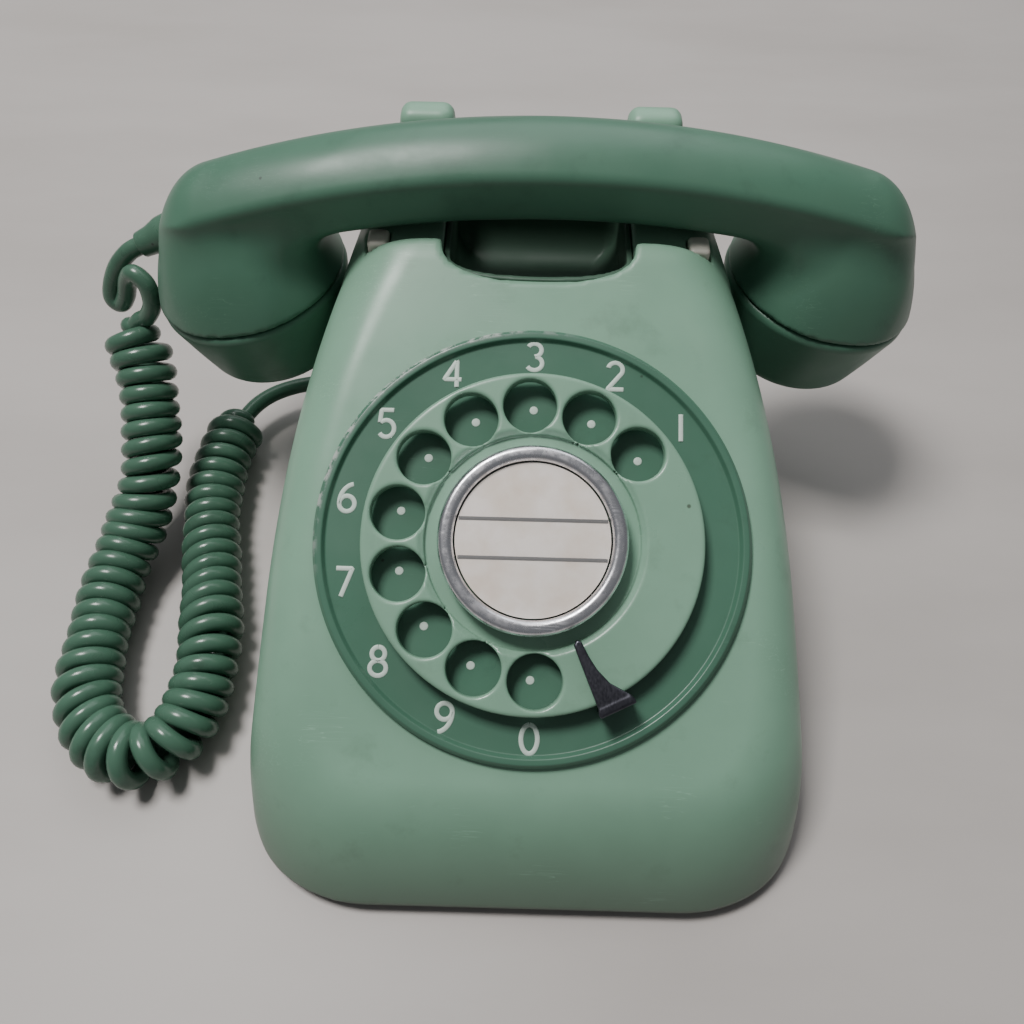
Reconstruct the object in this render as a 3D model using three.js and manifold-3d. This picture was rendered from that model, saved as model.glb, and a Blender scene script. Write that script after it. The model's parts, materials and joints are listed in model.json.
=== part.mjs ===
// A rotary desk telephone: housing, dial with its mechanism, handset, hook switch, ringer and curly cord.
// Millimetres, +Z up, +Y to the rear, +X to the right.
// The origin is under the middle of the base, on the table.
import * as THREE from "three";
import { mergeVertices } from "three/addons/utils/BufferGeometryUtils.js";
import Module from "manifold-3d";

const wasm = await Module();
wasm.setup();
const DEG = Math.PI / 180;
const GAP = 0.3; // between pieces that touch

// ---------------------------------------------------------------- driving dimensions
const HOUSING = {
  halfWidth: 80.6, // at the table, where the body is widest
  lean: 0.135, // how far a side wall leans in per millimetre of height
  waist: 0.00117, // how fast the body narrows behind its widest place
  widestY: -40,
  front: -113.8,
  rear: 111,
  frontLean: 0.234,
  rearLean: 0.17,
  corner: 37.5, // plan radius of the front corners
  rearCorner: 30,
  edge: 13, // radius between the walls and the face beside the dial
  edgeSpread: 0.0021, // how fast that radius grows away from the dial's middle
  rearEdge: 10,
  bottom: 4,
  crest: 105.5,
  saddle: 100.3, // floor that the handset rests over
  saddleY: 47.5, // rear face of the crest
  wall: 3,
};
const DIAL = {
  y: -31,
  z: 67,
  slope: 28 * DEG,
  proud: 2, // the number plate's datum stands this far out of the face
  plate: 59,
  opening: 52,
  wheel: 45.3,
  wheelTop: 5.5,
  wheelBottom: 1.2,
  holeRadius: 7.2,
  holeCircle: 36.3,
  holes: 10,
  firstHole: 40.9 * DEG,
  holePitch: 25.7 * DEG,
};
const HANDSET = {
  y: 63.6,
  turn: 1.1 * DEG, // it lies in its cradle a little askew
  top: 129.2,
  droop: 0.0016, // the grip's top falls by this times x squared
  crown: 0.031, // and by this times y squared
  height: 22.8,
  halfWidth: 15,
  taper: 0.17, // the grip narrows by this much for each millimetre down
  end: 112,
  headX: 90.6, // middle of the seam between a head and its cap
  headZ: 77.7,
  headRadius: 30.8,
  narrow: 0.32, // how a head narrows above its seam: in proportion and by the square
  narrowMore: 0.0102,
  tilt: 9.8 * DEG, // the caps lean in by this much
  capDepth: 30,
};
const CORD = { wire: 5.8, coil: 20 };
// The route starts at the handset's left end and goes back into the housing's left side.
const HANDSET_GLAND = { from: [-110, 69.4, 90.1], to: [-125.3, 66, 84.4] };
const BASE_GLAND = { from: [-54, 83, 13.2], to: [-74, 78.4, 12.8] };
const FLOOR_COIL = CORD.coil / 2 + 0.6; // height of the coil's middle where it lies on the table
// Below the gland the wire makes one open hook before the coil begins.
const HANDSET_LEAD = [
  [-125.6, 65.9, 84.3], [-130, 65, 82], [-134.9, 64, 77.1], [-138.5, 62.8, 71], [-139.6, 61.6, 66.4],
  [-137.2, 60.6, 64.8], [-134, 60.2, 68.6], [-130.6, 59.6, 76], [-127, 58, 79.6], [-123.4, 56, 77],
  [-123.4, 54.6, 70.6], [-126.4, 54.4, 65.4], [-130.4, 55, 62.4],
];
const COIL_PATH = [
  [-133.9, 54.6, 58], [-132.6, 51.6, 53.8], [-130.4, 43.6, 45.5], [-129.2, 31.4, 35], [-129.4, 18.4, 25.6],
  [-133, 5, 17.2], [-136.6, -9.4, 12.4], [-137.4, -25.4, FLOOR_COIL], [-136.4, -39.8, FLOOR_COIL],
  [-134.6, -53.4, FLOOR_COIL], [-128.2, -65.6, FLOOR_COIL], [-116.4, -72.6, FLOOR_COIL],
  [-106.2, -68.6, FLOOR_COIL], [-100.8, -56.8, FLOOR_COIL], [-100.4, -38.6, FLOOR_COIL],
  [-104.4, -17, FLOOR_COIL], [-109.8, 6.6, FLOOR_COIL], [-112.6, 24, FLOOR_COIL],
  [-112.4, 42.4, FLOOR_COIL], [-109.4, 55.6, 11.2],
];
const BASE_LEAD = [
  [-109, 57.2, 11.4], [-105.6, 63.6, 12], [-100, 69.6, 12.3], [-92.3, 73.8, 12.5], [-83, 76.3, 12.7],
  [-74.3, 78.3, 12.8],
];
const BASE_TOP = 6.6;
const BODY_SIDES = 48;

// ---------------------------------------------------------------- colours
const paint = (color, roughness = 0.35, metalness = 0) =>
  new THREE.MeshStandardMaterial({ color, roughness, metalness });
const LIGHT_GREEN = paint(0x8fb39a);
const DARK_GREEN = paint(0x3f6b55, 0.3);
const BLACK_PLASTIC = paint(0x1c211e, 0.6);
const CREAM = paint(0xe4dfcf, 0.5);
const CARD = paint(0xd9d2c6, 0.8);
const CLEAR = paint(0xf2f2ee, 0.1);
const CHROME = paint(0xc4c4cc, 0.2, 1);
const GUNMETAL = paint(0x55555d, 0.4, 1);
const STEEL = paint(0x9a9da0, 0.4, 1);
const BRASS = paint(0xb89a55, 0.35, 1);
const RUBBER = paint(0x2a2a2a, 0.9);
const BAKELITE = paint(0x5a3b25, 0.5);
const COPPER = paint(0x9a5a36, 0.45, 1);

// ---------------------------------------------------------------- solids
// A geometry as a manifold-3d solid with its faces outwards.
function solid(geometry) {
  const bare = geometry.index ? geometry.toNonIndexed() : geometry.clone();
  for (const name of Object.keys(bare.attributes)) if (name !== "position") bare.deleteAttribute(name);
  const merged = mergeVertices(bare, 1e-4);
  const position = merged.getAttribute("position").array;
  const index = new Uint32Array(merged.index.array);
  let volume = 0;
  const corner = (i) => new THREE.Vector3().fromArray(position, index[i] * 3);
  for (let i = 0; i < index.length; i += 3) volume += corner(i).dot(corner(i + 1).cross(corner(i + 2)));
  if (volume < 0) index.reverse();
  return new wasm.Manifold(new wasm.Mesh({ numProp: 3, vertProperties: position, triVerts: index }));
}

function geometryOf(made) {
  const mesh = made.getMesh();
  return new THREE.BufferGeometry()
    .setAttribute("position", new THREE.BufferAttribute(Float32Array.from(mesh.vertProperties), 3))
    .setIndex(new THREE.BufferAttribute(Uint32Array.from(mesh.triVerts), 1));
}

// Each maker below returns a manifold solid. place() moves one: a turn about X, Y, Z and then a shift.
function place(made, [x, y, z], [rx, ry, rz] = [0, 0, 0]) {
  const turn = new THREE.Matrix4().makeRotationFromEuler(new THREE.Euler(rx, ry, rz, "ZYX"));
  return made.transform(turn.setPosition(x, y, z).elements);
}

function box(x0, x1, y0, y1, z0, z1) {
  const made = solid(new THREE.BoxGeometry(x1 - x0, y1 - y0, z1 - z0));
  return place(made, [(x0 + x1) / 2, (y0 + y1) / 2, (z0 + z1) / 2]);
}

// A cylinder along Z from z0 to z1, or a cone if it has a second radius.
function rod(radius, z0, z1, sides = 16, topRadius = radius) {
  const made = solid(new THREE.CylinderGeometry(topRadius, radius, z1 - z0, sides));
  return place(made, [0, 0, (z0 + z1) / 2], [90 * DEG, 0, 0]);
}

// A solid of revolution about Z from [radius, height] corners that close on themselves or on the axis.
function turned(corners, sides = 48) {
  const closes = corners[0][0] > 0;
  const profile = [...corners, ...(closes ? [corners[0]] : [])];
  const points = profile.map(([r, h]) => new THREE.Vector2(r, h));
  return solid(new THREE.LatheGeometry(points, sides).rotateX(90 * DEG));
}

// A flat outline in X and Y, as [x, y] corners, pulled up from z0 to z1.
function slab(corners, z0, z1) {
  const shape = new THREE.Shape(corners.map(([x, y]) => new THREE.Vector2(x, y)));
  const made = new THREE.ExtrudeGeometry(shape, { depth: z1 - z0, bevelEnabled: false });
  return solid(made.translate(0, 0, z0));
}

const union = (...solids) => solids.reduce((a, b) => a.add(b));

// A round tube along a smooth curve through points.
function tube(points, radius, steps, sides = 8) {
  const curve = new THREE.CatmullRomCurve3(points.map((p) => new THREE.Vector3(...p)));
  const section = new THREE.Shape();
  for (let i = 0; i < sides; i += 1) {
    const angle = (i / sides) * 2 * Math.PI;
    section[i ? "lineTo" : "moveTo"](radius * Math.cos(angle), radius * Math.sin(angle));
  }
  const made = new THREE.ExtrudeGeometry(section, { extrudePath: curve, steps, bevelEnabled: false });
  return solid(made);
}

// Moves a solid that stands on the origin so that it stands on one point and leans towards another.
function aim(made, from, to) {
  const axis = new THREE.Vector3(...to).sub(new THREE.Vector3(...from)).normalize();
  const spin = new THREE.Quaternion().setFromUnitVectors(new THREE.Vector3(0, 0, 1), axis);
  return made.transform(new THREE.Matrix4().makeRotationFromQuaternion(spin).setPosition(...from).elements);
}

// A tapered sleeve from one point to another, with a bore for the wire.
function sleeve(from, to, rootRadius, tipRadius, bore) {
  const length = new THREE.Vector3(...from).distanceTo(new THREE.Vector3(...to)) - GAP;
  return aim(turned([[bore, 0], [rootRadius, 0], [tipRadius, length], [bore, length]], 16), from, to);
}

// ---------------------------------------------------------------- fields: negative inside, in millimetres
// The larger of two fields, with a round of radius r where they meet.
const roundMax = (a, b, r) =>
  Math.min(-r, Math.max(a, b)) + Math.hypot(Math.max(a + r, 0), Math.max(b + r, 0));
const smoothMin = (a, b, r) => {
  const h = Math.max(r - Math.abs(a - b), 0) / r;
  return Math.min(a, b) - (h * h * r) / 4;
};

// Height of the sloping face over the table at a given y.
const faceZ = (y) => DIAL.z - DIAL.proud / Math.cos(DIAL.slope) + (y - DIAL.y) * Math.tan(DIAL.slope);

// A corner of the given radius between two walls, from the distances outside each.
const roundedCorner = (qx, qy, radius) =>
  Math.hypot(Math.max(qx, 0), Math.max(qy, 0)) + Math.min(Math.max(qx, qy), 0) - radius;

// The body seen from above at height z: a rounded rectangle that narrows to the rear.
function planField(x, y, z, inset) {
  const h = HOUSING;
  const half = h.halfWidth - inset - h.lean * z - h.waist * Math.max(0, y - h.widestY) ** 2;
  const front = h.front + inset + h.frontLean * z;
  const rear = h.rear - inset - h.rearLean * z;
  const radius = (y < 0 ? h.corner : h.rearCorner) - inset;
  const qy = Math.max(front + radius - y, y - (rear - radius));
  return roundedCorner(Math.abs(x) - (half - radius), qy, radius);
}

// The radius between the walls and the face: it grows towards the front and the crest.
function edgeAt(y) {
  const h = HOUSING;
  const beside = h.edge + h.edgeSpread * (y - DIAL.y) ** 2;
  return Math.max(h.rearEdge, Math.min(beside, 50 - y / 2));
}

function housingField(x, y, z, inset, top) {
  const face = (z - faceZ(y)) * Math.cos(DIAL.slope) + inset;
  const roof = roundMax(face, z - top, 3);
  return roundMax(planField(x, y, z, inset), roof, edgeAt(y) - inset);
}

// Where a ray from a point leaves a field.
function castRay(field, from, direction, far = 320) {
  let near = 0;
  for (let i = 0; i < 40; i += 1) {
    const middle = (near + far) / 2;
    const p = from.map((v, k) => v + direction[k] * middle);
    if (field(...p) < 0) near = middle;
    else far = middle;
  }
  return from.map((v, k) => v + direction[k] * near);
}

// A dome over a flat floor at z: rings of rays from the floor's middle up to the zenith.
function domeSolid(field, z, rings, sides) {
  const positions = [0, 0, z];
  const index = [];
  for (let j = 0; j < rings; j += 1) {
    const elevation = (j / rings) * 90 * DEG;
    for (let i = 0; i < sides; i += 1) {
      const azimuth = ((i + 0.5) / sides) * 2 * Math.PI;
      const flat = Math.cos(elevation);
      const direction = [flat * Math.cos(azimuth), flat * Math.sin(azimuth), Math.sin(elevation)];
      positions.push(...castRay(field, [0, 0, z], direction));
    }
  }
  positions.push(...castRay(field, [0, 0, z], [0, 0, 1]));
  const at = (j, i) => 1 + j * sides + (i % sides);
  const zenith = positions.length / 3 - 1;
  for (let i = 0; i < sides; i += 1) {
    index.push(0, at(0, i + 1), at(0, i));
    index.push(zenith, at(rings - 1, i), at(rings - 1, i + 1));
    for (let j = 0; j < rings - 1; j += 1) {
      index.push(at(j, i), at(j, i + 1), at(j + 1, i + 1), at(j, i), at(j + 1, i + 1), at(j + 1, i));
    }
  }
  const geometry = new THREE.BufferGeometry();
  geometry.setAttribute("position", new THREE.Float32BufferAttribute(positions, 3)).setIndex(index);
  return solid(geometry);
}

// The zero surface of a field inside a box, by surface nets on a grid.
function netSolid(field, low, high, step) {
  const size = low.map((v, k) => Math.ceil((high[k] - v) / step) + 1);
  const id = (i, j, k) => (i * size[1] + j) * size[2] + k;
  const point = (i, j, k) => [low[0] + i * step, low[1] + j * step, low[2] + k * step];
  const values = new Float64Array(size[0] * size[1] * size[2]);
  const vertexOf = new Map();
  const positions = [];
  const index = [];
  const eachCell = (visit) => {
    for (let i = 0; i < size[0]; i += 1)
      for (let j = 0; j < size[1]; j += 1) for (let k = 0; k < size[2]; k += 1) visit(i, j, k);
  };
  eachCell((i, j, k) => {
    values[id(i, j, k)] = field(...point(i, j, k));
  });
  const slope = (p) =>
    [0, 1, 2].map((a) => {
      const d = 0.05;
      const shifted = (s) => field(...p.map((v, b) => (a === b ? v + s * d : v)));
      return (shifted(1) - shifted(-1)) / (2 * d);
    });
  eachCell((i, j, k) => {
    if (i === size[0] - 1 || j === size[1] - 1 || k === size[2] - 1) return;
    const sum = [0, 0, 0];
    let crossings = 0;
    for (let a = 0; a < 3; a += 1)
      for (let c = 0; c < 4; c += 1) {
        const start = [i, j, k];
        start[(a + 1) % 3] += c & 1;
        start[(a + 2) % 3] += c >> 1;
        const end = start.map((v, b) => (a === b ? v + 1 : v));
        const [v0, v1] = [values[id(...start)], values[id(...end)]];
        if (v0 < 0 === v1 < 0) continue;
        const t = v0 / (v0 - v1);
        point(...start).forEach((v, b) => {
          sum[b] += v + (a === b ? t * step : 0);
        });
        crossings += 1;
      }
    if (!crossings) return;
    let p = sum.map((v) => v / crossings);
    for (let pass = 0; pass < 3; pass += 1) {
      const g = slope(p);
      const length = g.reduce((s, v) => s + v * v, 1e-9);
      const value = field(...p);
      p = p.map((v, b) => v - (value * g[b]) / length);
    }
    vertexOf.set(id(i, j, k), positions.length / 3);
    positions.push(...p);
  });
  eachCell((i, j, k) => {
    for (let a = 0; a < 3; a += 1) {
      const start = [i, j, k];
      const end = start.map((v, b) => (a === b ? v + 1 : v));
      const [b, c] = [(a + 1) % 3, (a + 2) % 3];
      if (end[a] >= size[a] || start[b] < 1 || start[c] < 1) continue;
      const [v0, v1] = [values[id(...start)], values[id(...end)]];
      if (v0 < 0 === v1 < 0) continue;
      const corner = (db, dc) => {
        const cell = [...start];
        cell[b] -= db;
        cell[c] -= dc;
        return vertexOf.get(id(...cell));
      };
      const quad = [corner(1, 1), corner(0, 1), corner(0, 0), corner(1, 0)];
      if (v0 >= 0) quad.reverse();
      index.push(quad[0], quad[1], quad[2], quad[0], quad[2], quad[3]);
    }
  });
  const geometry = new THREE.BufferGeometry();
  geometry.setAttribute("position", new THREE.Float32BufferAttribute(positions, 3)).setIndex(index);
  return solid(geometry);
}

// ---------------------------------------------------------------- the tree of meshes
const telephone = new THREE.Group();
const dialGroup = new THREE.Group();
dialGroup.position.set(0, DIAL.y, DIAL.z);
dialGroup.rotation.x = DIAL.slope;
telephone.add(dialGroup);

function add(name, made, material, parent = telephone) {
  const mesh = new THREE.Mesh(geometryOf(made), material);
  mesh.name = name;
  parent.add(mesh);
}

// ---------------------------------------------------------------- housing
// The body's outline at a height, set in by a distance, as [x, y] corners.
function outlineAt(z, inset, sides = BODY_SIDES) {
  return Array.from({ length: sides }, (_, i) => {
    const angle = ((i + 0.5) / sides) * 2 * Math.PI;
    const direction = [Math.cos(angle), Math.sin(angle), 0];
    const field = (x, y) => housingField(x, y, z, inset, HOUSING.crest);
    return castRay(field, [0, 0, z], direction).slice(0, 2);
  });
}

// The finger well under the handset, seen from above: its front lip is half an ellipse.
function wellOutline(inset) {
  const half = 27.5 - inset;
  const [lipY, rearY, depth, corner] = [46, 82 - inset, 10.5 - inset, 6];
  const corners = [];
  for (let i = 0; i <= 14; i += 1) {
    const angle = Math.PI + (i / 14) * Math.PI;
    corners.push([half * Math.cos(angle), lipY + depth * Math.sin(angle)]);
  }
  for (const [side, start] of [[1, 0], [-1, 90]])
    for (let i = 0; i <= 4; i += 1) {
      const angle = (start + i * 22.5) * DEG;
      const x = side * (half - corner) + corner * Math.cos(angle);
      corners.push([x, rearY - corner + corner * Math.sin(angle)]);
    }
  return corners;
}

const PLUNGER = { x: 46.5, y: 50.8, halfX: 3, halfY: 3.6, top: 102, bottom: 86.2 };
const CORD_HOLE = 5.4;
const LINE_HOLE = { x: 32, y: 109, z: 14, radius: 5.3 };

// One of the two rear ears that keep the handset from sliding back.
function ear(side) {
  const profile = [
    [81, 98.6], [83.4, 115.8], [85.6, 119.2], [88, 120.3], [90.6, 119.4], [92.2, 116.4], [94, 98.6],
  ];
  const shape = new THREE.Shape(profile.map(([y, z]) => new THREE.Vector2(y, z)));
  const made = solid(new THREE.ExtrudeGeometry(shape, { depth: 16, bevelEnabled: false }));
  // The profile's x and y become Y and Z, and its depth becomes X.
  return place(made, [side * 34 - 8, 0, 0], [90 * DEG, 0, 90 * DEG]);
}

function bodyShell() {
  const h = HOUSING;
  const outside = domeSolid((x, y, z) => housingField(x, y, z, 0, h.crest), h.bottom, 17, BODY_SIDES);
  const inside = domeSolid(
    (x, y, z) => housingField(x, y, z, h.wall, h.saddle - h.wall + h.wall * 0.1),
    h.bottom - 3,
    8,
    BODY_SIDES,
  );
  const axis = [0, DIAL.y, DIAL.z];
  let made = outside.subtract(box(-120, 120, h.saddleY, 140, h.saddle, 140));
  made = union(made, ear(-1), ear(1)).subtract(inside);
  made = made.subtract(slab(wellOutline(0), 90, 140));
  made = made.subtract(place(rod(DIAL.opening, -24, 12, 48), axis, [DIAL.slope, 0, 0]));
  for (const side of [-1, 1]) {
    const p = PLUNGER;
    const [x0, x1] = [side * p.x - p.halfX - GAP, side * p.x + p.halfX + GAP];
    made = made.subtract(box(x0, x1, p.y - p.halfY - GAP, p.y + p.halfY + GAP, p.bottom - 1, 130));
  }
  made = made.subtract(aim(rod(CORD_HOLE, -5, 30), BASE_GLAND.from, BASE_GLAND.to));
  const { x, y, z, radius } = LINE_HOLE;
  return made.subtract(place(rod(radius, -12, 12), [x, y, z], [90 * DEG, 0, 0]));
}

const SCREW_X = 52;
const SCREW_Y = 86;
const STANDOFFS = [[-46, -80], [46, -80], [-46, -48], [46, -48]];
const FEET = { front_left: [-58, -86], front_right: [58, -86], rear_left: [-44, 84], rear_right: [44, 84] };
const VOLUME = { x: 50, y: 30 };

function basePlate() {
  let made = slab(outlineAt(BASE_TOP, HOUSING.wall + 2), HOUSING.bottom + 0.6, BASE_TOP);
  for (const [x, y] of STANDOFFS) made = union(made, place(rod(3, BASE_TOP - 0.5, 11.7, 12), [x, y, 0]));
  for (const side of [-1, 1]) made = made.subtract(place(rod(2.4, 0, 12, 12), [side * SCREW_X, -20, 0]));
  return made.subtract(place(rod(3.4, 0, 12, 16), [VOLUME.x, VOLUME.y, 0]));
}

add("body_shell", bodyShell(), LIGHT_GREEN);
add("base_plate", basePlate(), STEEL);
for (const [corner, [x, y]] of Object.entries(FEET)) {
  const foot = turned([[0, 0], [7, 0], [8, 1], [8.6, 4.3], [0, 4.3]], 20);
  add(`foot_${corner}`, place(foot, [x, y, 0]), RUBBER);
}
for (const [name, side] of [["left", -1], ["right", 1]]) {
  const screw = turned([[0, 2.4], [2.2, 2.4], [3.8, 3], [4, 4.3], [2, 4.3], [2, 10], [0, 10]], 16);
  add(`case_screw_${name}`, place(screw, [side * SCREW_X, -20, 0]), STEEL);
}

// ---------------------------------------------------------------- finger well and hook switch
const WELL_FLOOR = 76;

function wellTray() {
  const outside = slab(wellOutline(0.4), WELL_FLOOR - 2, HOUSING.saddle - 0.8);
  return outside.subtract(slab(wellOutline(2.4), WELL_FLOOR, 120));
}
add("grip_well_tray", wellTray(), LIGHT_GREEN);

const PIVOT = { y: 26, z: 83.6 };
for (const [name, side] of [["left", -1], ["right", 1]]) {
  const p = PLUNGER;
  const x = side * p.x;
  const stem = box(x - p.halfX, x + p.halfX, p.y - p.halfY, p.y + p.halfY, p.bottom, p.top);
  add(`hook_plunger_${name}`, stem, CREAM);
}

function hookLever() {
  const arm = (x) => box(x - 2, x + 2, 19, 54, 82.2, 85.9);
  const hub = (x) => place(rod(4, -2, 2, 16), [x, PIVOT.y, PIVOT.z], [0, 90 * DEG, 0]);
  const bar = box(-46, 46, 19, 21.4, 82.2, 85.9);
  const pin = place(rod(1.7, -60, 60, 12), [0, PIVOT.y, PIVOT.z], [0, 90 * DEG, 0]);
  return union(arm(-46), arm(46), hub(-46), hub(46), bar).subtract(pin);
}

function hookBracket() {
  const foot = box(-39, 39, 23, 31.4, BASE_TOP + GAP, 8.6);
  let made = union(box(-39, 39, 29.4, 31.4, BASE_TOP + GAP, 88), foot);
  for (const side of [-1, 1]) made = union(made, box(side * 37 - 1, side * 37 + 1, 22.6, 30, 79, 88));
  made = made.subtract(place(rod(1.7, -60, 60, 12), [0, PIVOT.y, PIVOT.z], [0, 90 * DEG, 0]));
  return made.subtract(box(-20, 20, 28, 33, 30, 66));
}

function contactStack(x0, x1, y, z0, z1) {
  const leaves = [0, 2.4, 4.8].map((d) => box(x0, x1, y - d - 0.5, y - d, z0, z1 - d));
  return union(box(x0 - 1, x1 + 1, y - 6.4, y + 0.2, z0 - 2, z0 + 7), ...leaves);
}

add("hook_lever", hookLever(), STEEL);
add("hook_pivot_pin", place(rod(1.4, -49, 49, 12), [0, PIVOT.y, PIVOT.z], [0, 90 * DEG, 0]), STEEL);
add("hook_bracket", hookBracket(), STEEL);
add("hook_contacts", contactStack(25, 33, 28.8, 50, 78), BRASS);

// ---------------------------------------------------------------- dial face
function fingerWheel() {
  const d = DIAL;
  let made = turned(
    [
      [3.4, d.wheelBottom], [43.8, d.wheelBottom], [d.wheel, 2.6], [d.wheel, 4.6], [44.4, d.wheelTop],
      [29.6, d.wheelTop], [28.6, 3.2], [20.2, 3.2], [20.2, 7.8], [5.6, 7.8], [5.6, 4.5], [3.4, 4.5],
    ],
    40,
  );
  for (let i = 0; i < d.holes; i += 1) {
    const angle = d.firstHole + i * d.holePitch;
    const [x, y] = [d.holeCircle * Math.cos(angle), d.holeCircle * Math.sin(angle)];
    made = made.subtract(place(rod(d.holeRadius, -5, 12, 14), [x, y, 0]));
  }
  return made;
}

// The finger stop: a blade over the wheel that bends down outside its rim to the number plate.
function fingerStop() {
  // The leg stands under the blade's outer edge, between these two corners.
  const [root, rootEnd] = [[18.3, -44.4], [26.8, -40.3]];
  const tip = [[11, -26.6], [11.8, -25.2], [13, -25.6]];
  const concave = [[15, -29.4], [17.2, -32.6], [20.4, -35.8], [25.6, -38.4]];
  const blade = slab([...tip, ...concave, rootEnd, root], 7.2, 8.4);
  const width = Math.hypot(rootEnd[0] - root[0], rootEnd[1] - root[1]);
  const heading = Math.atan2(rootEnd[1] - root[1], rootEnd[0] - root[0]);
  const leg = place(box(0.1, width - 0.1, 0, 1.2, -0.5, 8.2), [...root, 0], [0, 0, heading]);
  return union(blade, leg);
}

add(
  "number_plate",
  turned(
    [
      [6.5, -4], [51.4, -4], [51.4, -1.7], [58.6, -1.7], [DIAL.plate, -0.6], [58, 0.6],
      [56.4, 0.6], [55.6, -0.8], [6.5, -0.8],
    ],
    48,
  ),
  DARK_GREEN,
  dialGroup,
);
add("finger_wheel", fingerWheel(), LIGHT_GREEN, dialGroup);
add(
  "card_ring",
  turned([[20.6, 3.5], [24.8, 3.5], [24.8, 9], [23.9, 10.4], [21.6, 10.4], [20.6, 9.5]], 36),
  CHROME,
  dialGroup,
);
add("number_card", rod(20.2, 8.1, 8.5, 32), CARD, dialGroup);
add("card_window", rod(20.2, 8.8, 9.5, 32), CLEAR, dialGroup);
add("finger_stop", fingerStop(), GUNMETAL, dialGroup);

// ---------------------------------------------------------------- dial mechanism
const GEARS = { module: 1.2, mainTeeth: 36, pinionTeeth: 9, mainZ: [-14, -12], pinionZ: [-15, -11] };
const gearRadius = (teeth) => (GEARS.module * teeth) / 2;
const PINION_Y = gearRadius(GEARS.mainTeeth) + gearRadius(GEARS.pinionTeeth) + 0.15;

// A spur gear with straight-sided teeth; phase is in teeth.
function gear(teeth, [z0, z1], bore, phase) {
  const [root, tip] = [-1.05, 0.8].map((d) => gearRadius(teeth) + d * GEARS.module);
  const steps = [[root, -0.29], [tip, -0.11], [tip, 0.11], [root, 0.29]];
  const corners = [];
  for (let i = 0; i < teeth; i += 1)
    for (const [radius, share] of steps) {
      const angle = ((i + phase + share) / teeth) * 2 * Math.PI;
      corners.push([radius * Math.cos(angle), radius * Math.sin(angle)]);
    }
  return slab(corners, z0, z1).subtract(rod(bore, z0 - 1, z1 + 1, 20));
}

add("wheel_screw", union(rod(4.6, 4.8, 7.2, 16), rod(1.7, -3, 5, 12)), STEEL, dialGroup);
add("dial_shaft", rod(3, -36, 4.4, 20).subtract(rod(2, -4, 6, 12)), STEEL, dialGroup);
add("main_gear", gear(GEARS.mainTeeth, GEARS.mainZ, 3.3, 0.5 + GEARS.mainTeeth / 4), BRASS, dialGroup);
add("spring_drum", turned([[3.3, -27], [14, -27], [14, -15.5], [3.3, -15.5]], 32), STEEL, dialGroup);

const onPinion = (made) => place(made, [0, PINION_Y, 0]);
const pinion = gear(GEARS.pinionTeeth, GEARS.pinionZ, 1, (3 * GEARS.pinionTeeth) / 4);
add("pinion_shaft", onPinion(union(pinion, rod(1.5, -29, -10.4, 12))), BRASS, dialGroup);
// The cam's three lobes open the impulse contacts; it makes one turn for a quarter turn of the dial.
function impulseCam() {
  const corners = Array.from({ length: 24 }, (_, i) => {
    const angle = i * 15 * DEG;
    const radius = 5.2 + 1.1 * Math.cos(3 * angle);
    return [radius * Math.cos(angle), radius * Math.sin(angle)];
  });
  return slab(corners, -19, -17.2).subtract(rod(1.8, -21, -15, 12));
}
add("impulse_cam", onPinion(impulseCam()), BAKELITE, dialGroup);

const WORM_WHEEL = { radius: 8, teeth: 16, z: -24.5 };
const WORM = { y: PINION_Y + WORM_WHEEL.radius + 3.6, z: WORM_WHEEL.z };
function wormWheel() {
  const corners = [];
  for (let i = 0; i < WORM_WHEEL.teeth; i += 1)
    for (const [radius, share] of [[7, -0.3], [8, -0.12], [8, 0.12], [7, 0.3]]) {
      const angle = ((i + share) / WORM_WHEEL.teeth) * 2 * Math.PI;
      corners.push([radius * Math.cos(angle), radius * Math.sin(angle)]);
    }
  return slab(corners, WORM_WHEEL.z - 1, WORM_WHEEL.z + 1).subtract(rod(1.8, -40, 0, 12));
}
add("worm_wheel", onPinion(wormWheel()), BAKELITE, dialGroup);

const alongX = (made) => place(made, [0, WORM.y, WORM.z], [0, 90 * DEG, 0]);
// The worm's thread is drawn as rings that stop short of the worm wheel.
function governorShaft() {
  const rings = Array.from({ length: 4 }, (_, i) => {
    const z = -4.5 + i * 3;
    return turned([[0, z - 0.8], [2, z - 0.8], [3, z], [2, z + 0.8], [0, z + 0.8]], 12);
  });
  return alongX(union(rod(1.2, -16, 21, 12), rod(2.1, -6.5, 6.5, 12), ...rings));
}
add("governor_shaft", governorShaft(), STEEL, dialGroup);
const WEIGHT_AT = 14.2;
const weights = union(
  box(-1.4, 1.4, -4, 4, WEIGHT_AT, WEIGHT_AT + 2),
  rod(2.6, WEIGHT_AT, WEIGHT_AT + 2, 12),
  ...[-1, 1].map((side) => place(rod(1.6, WEIGHT_AT - 0.8, WEIGHT_AT + 2.8, 10), [0, side * 3.9, 0])),
).subtract(rod(1.5, 0, 30, 12));
add("governor_weights", alongX(weights), BRASS, dialGroup);
add(
  "governor_cup",
  alongX(turned([[1.6, 18.6], [7, 18.6], [7, 11.2], [6.2, 11.2], [6.2, 17.4], [1.6, 17.4]], 24)),
  STEEL,
  dialGroup,
);

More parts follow.
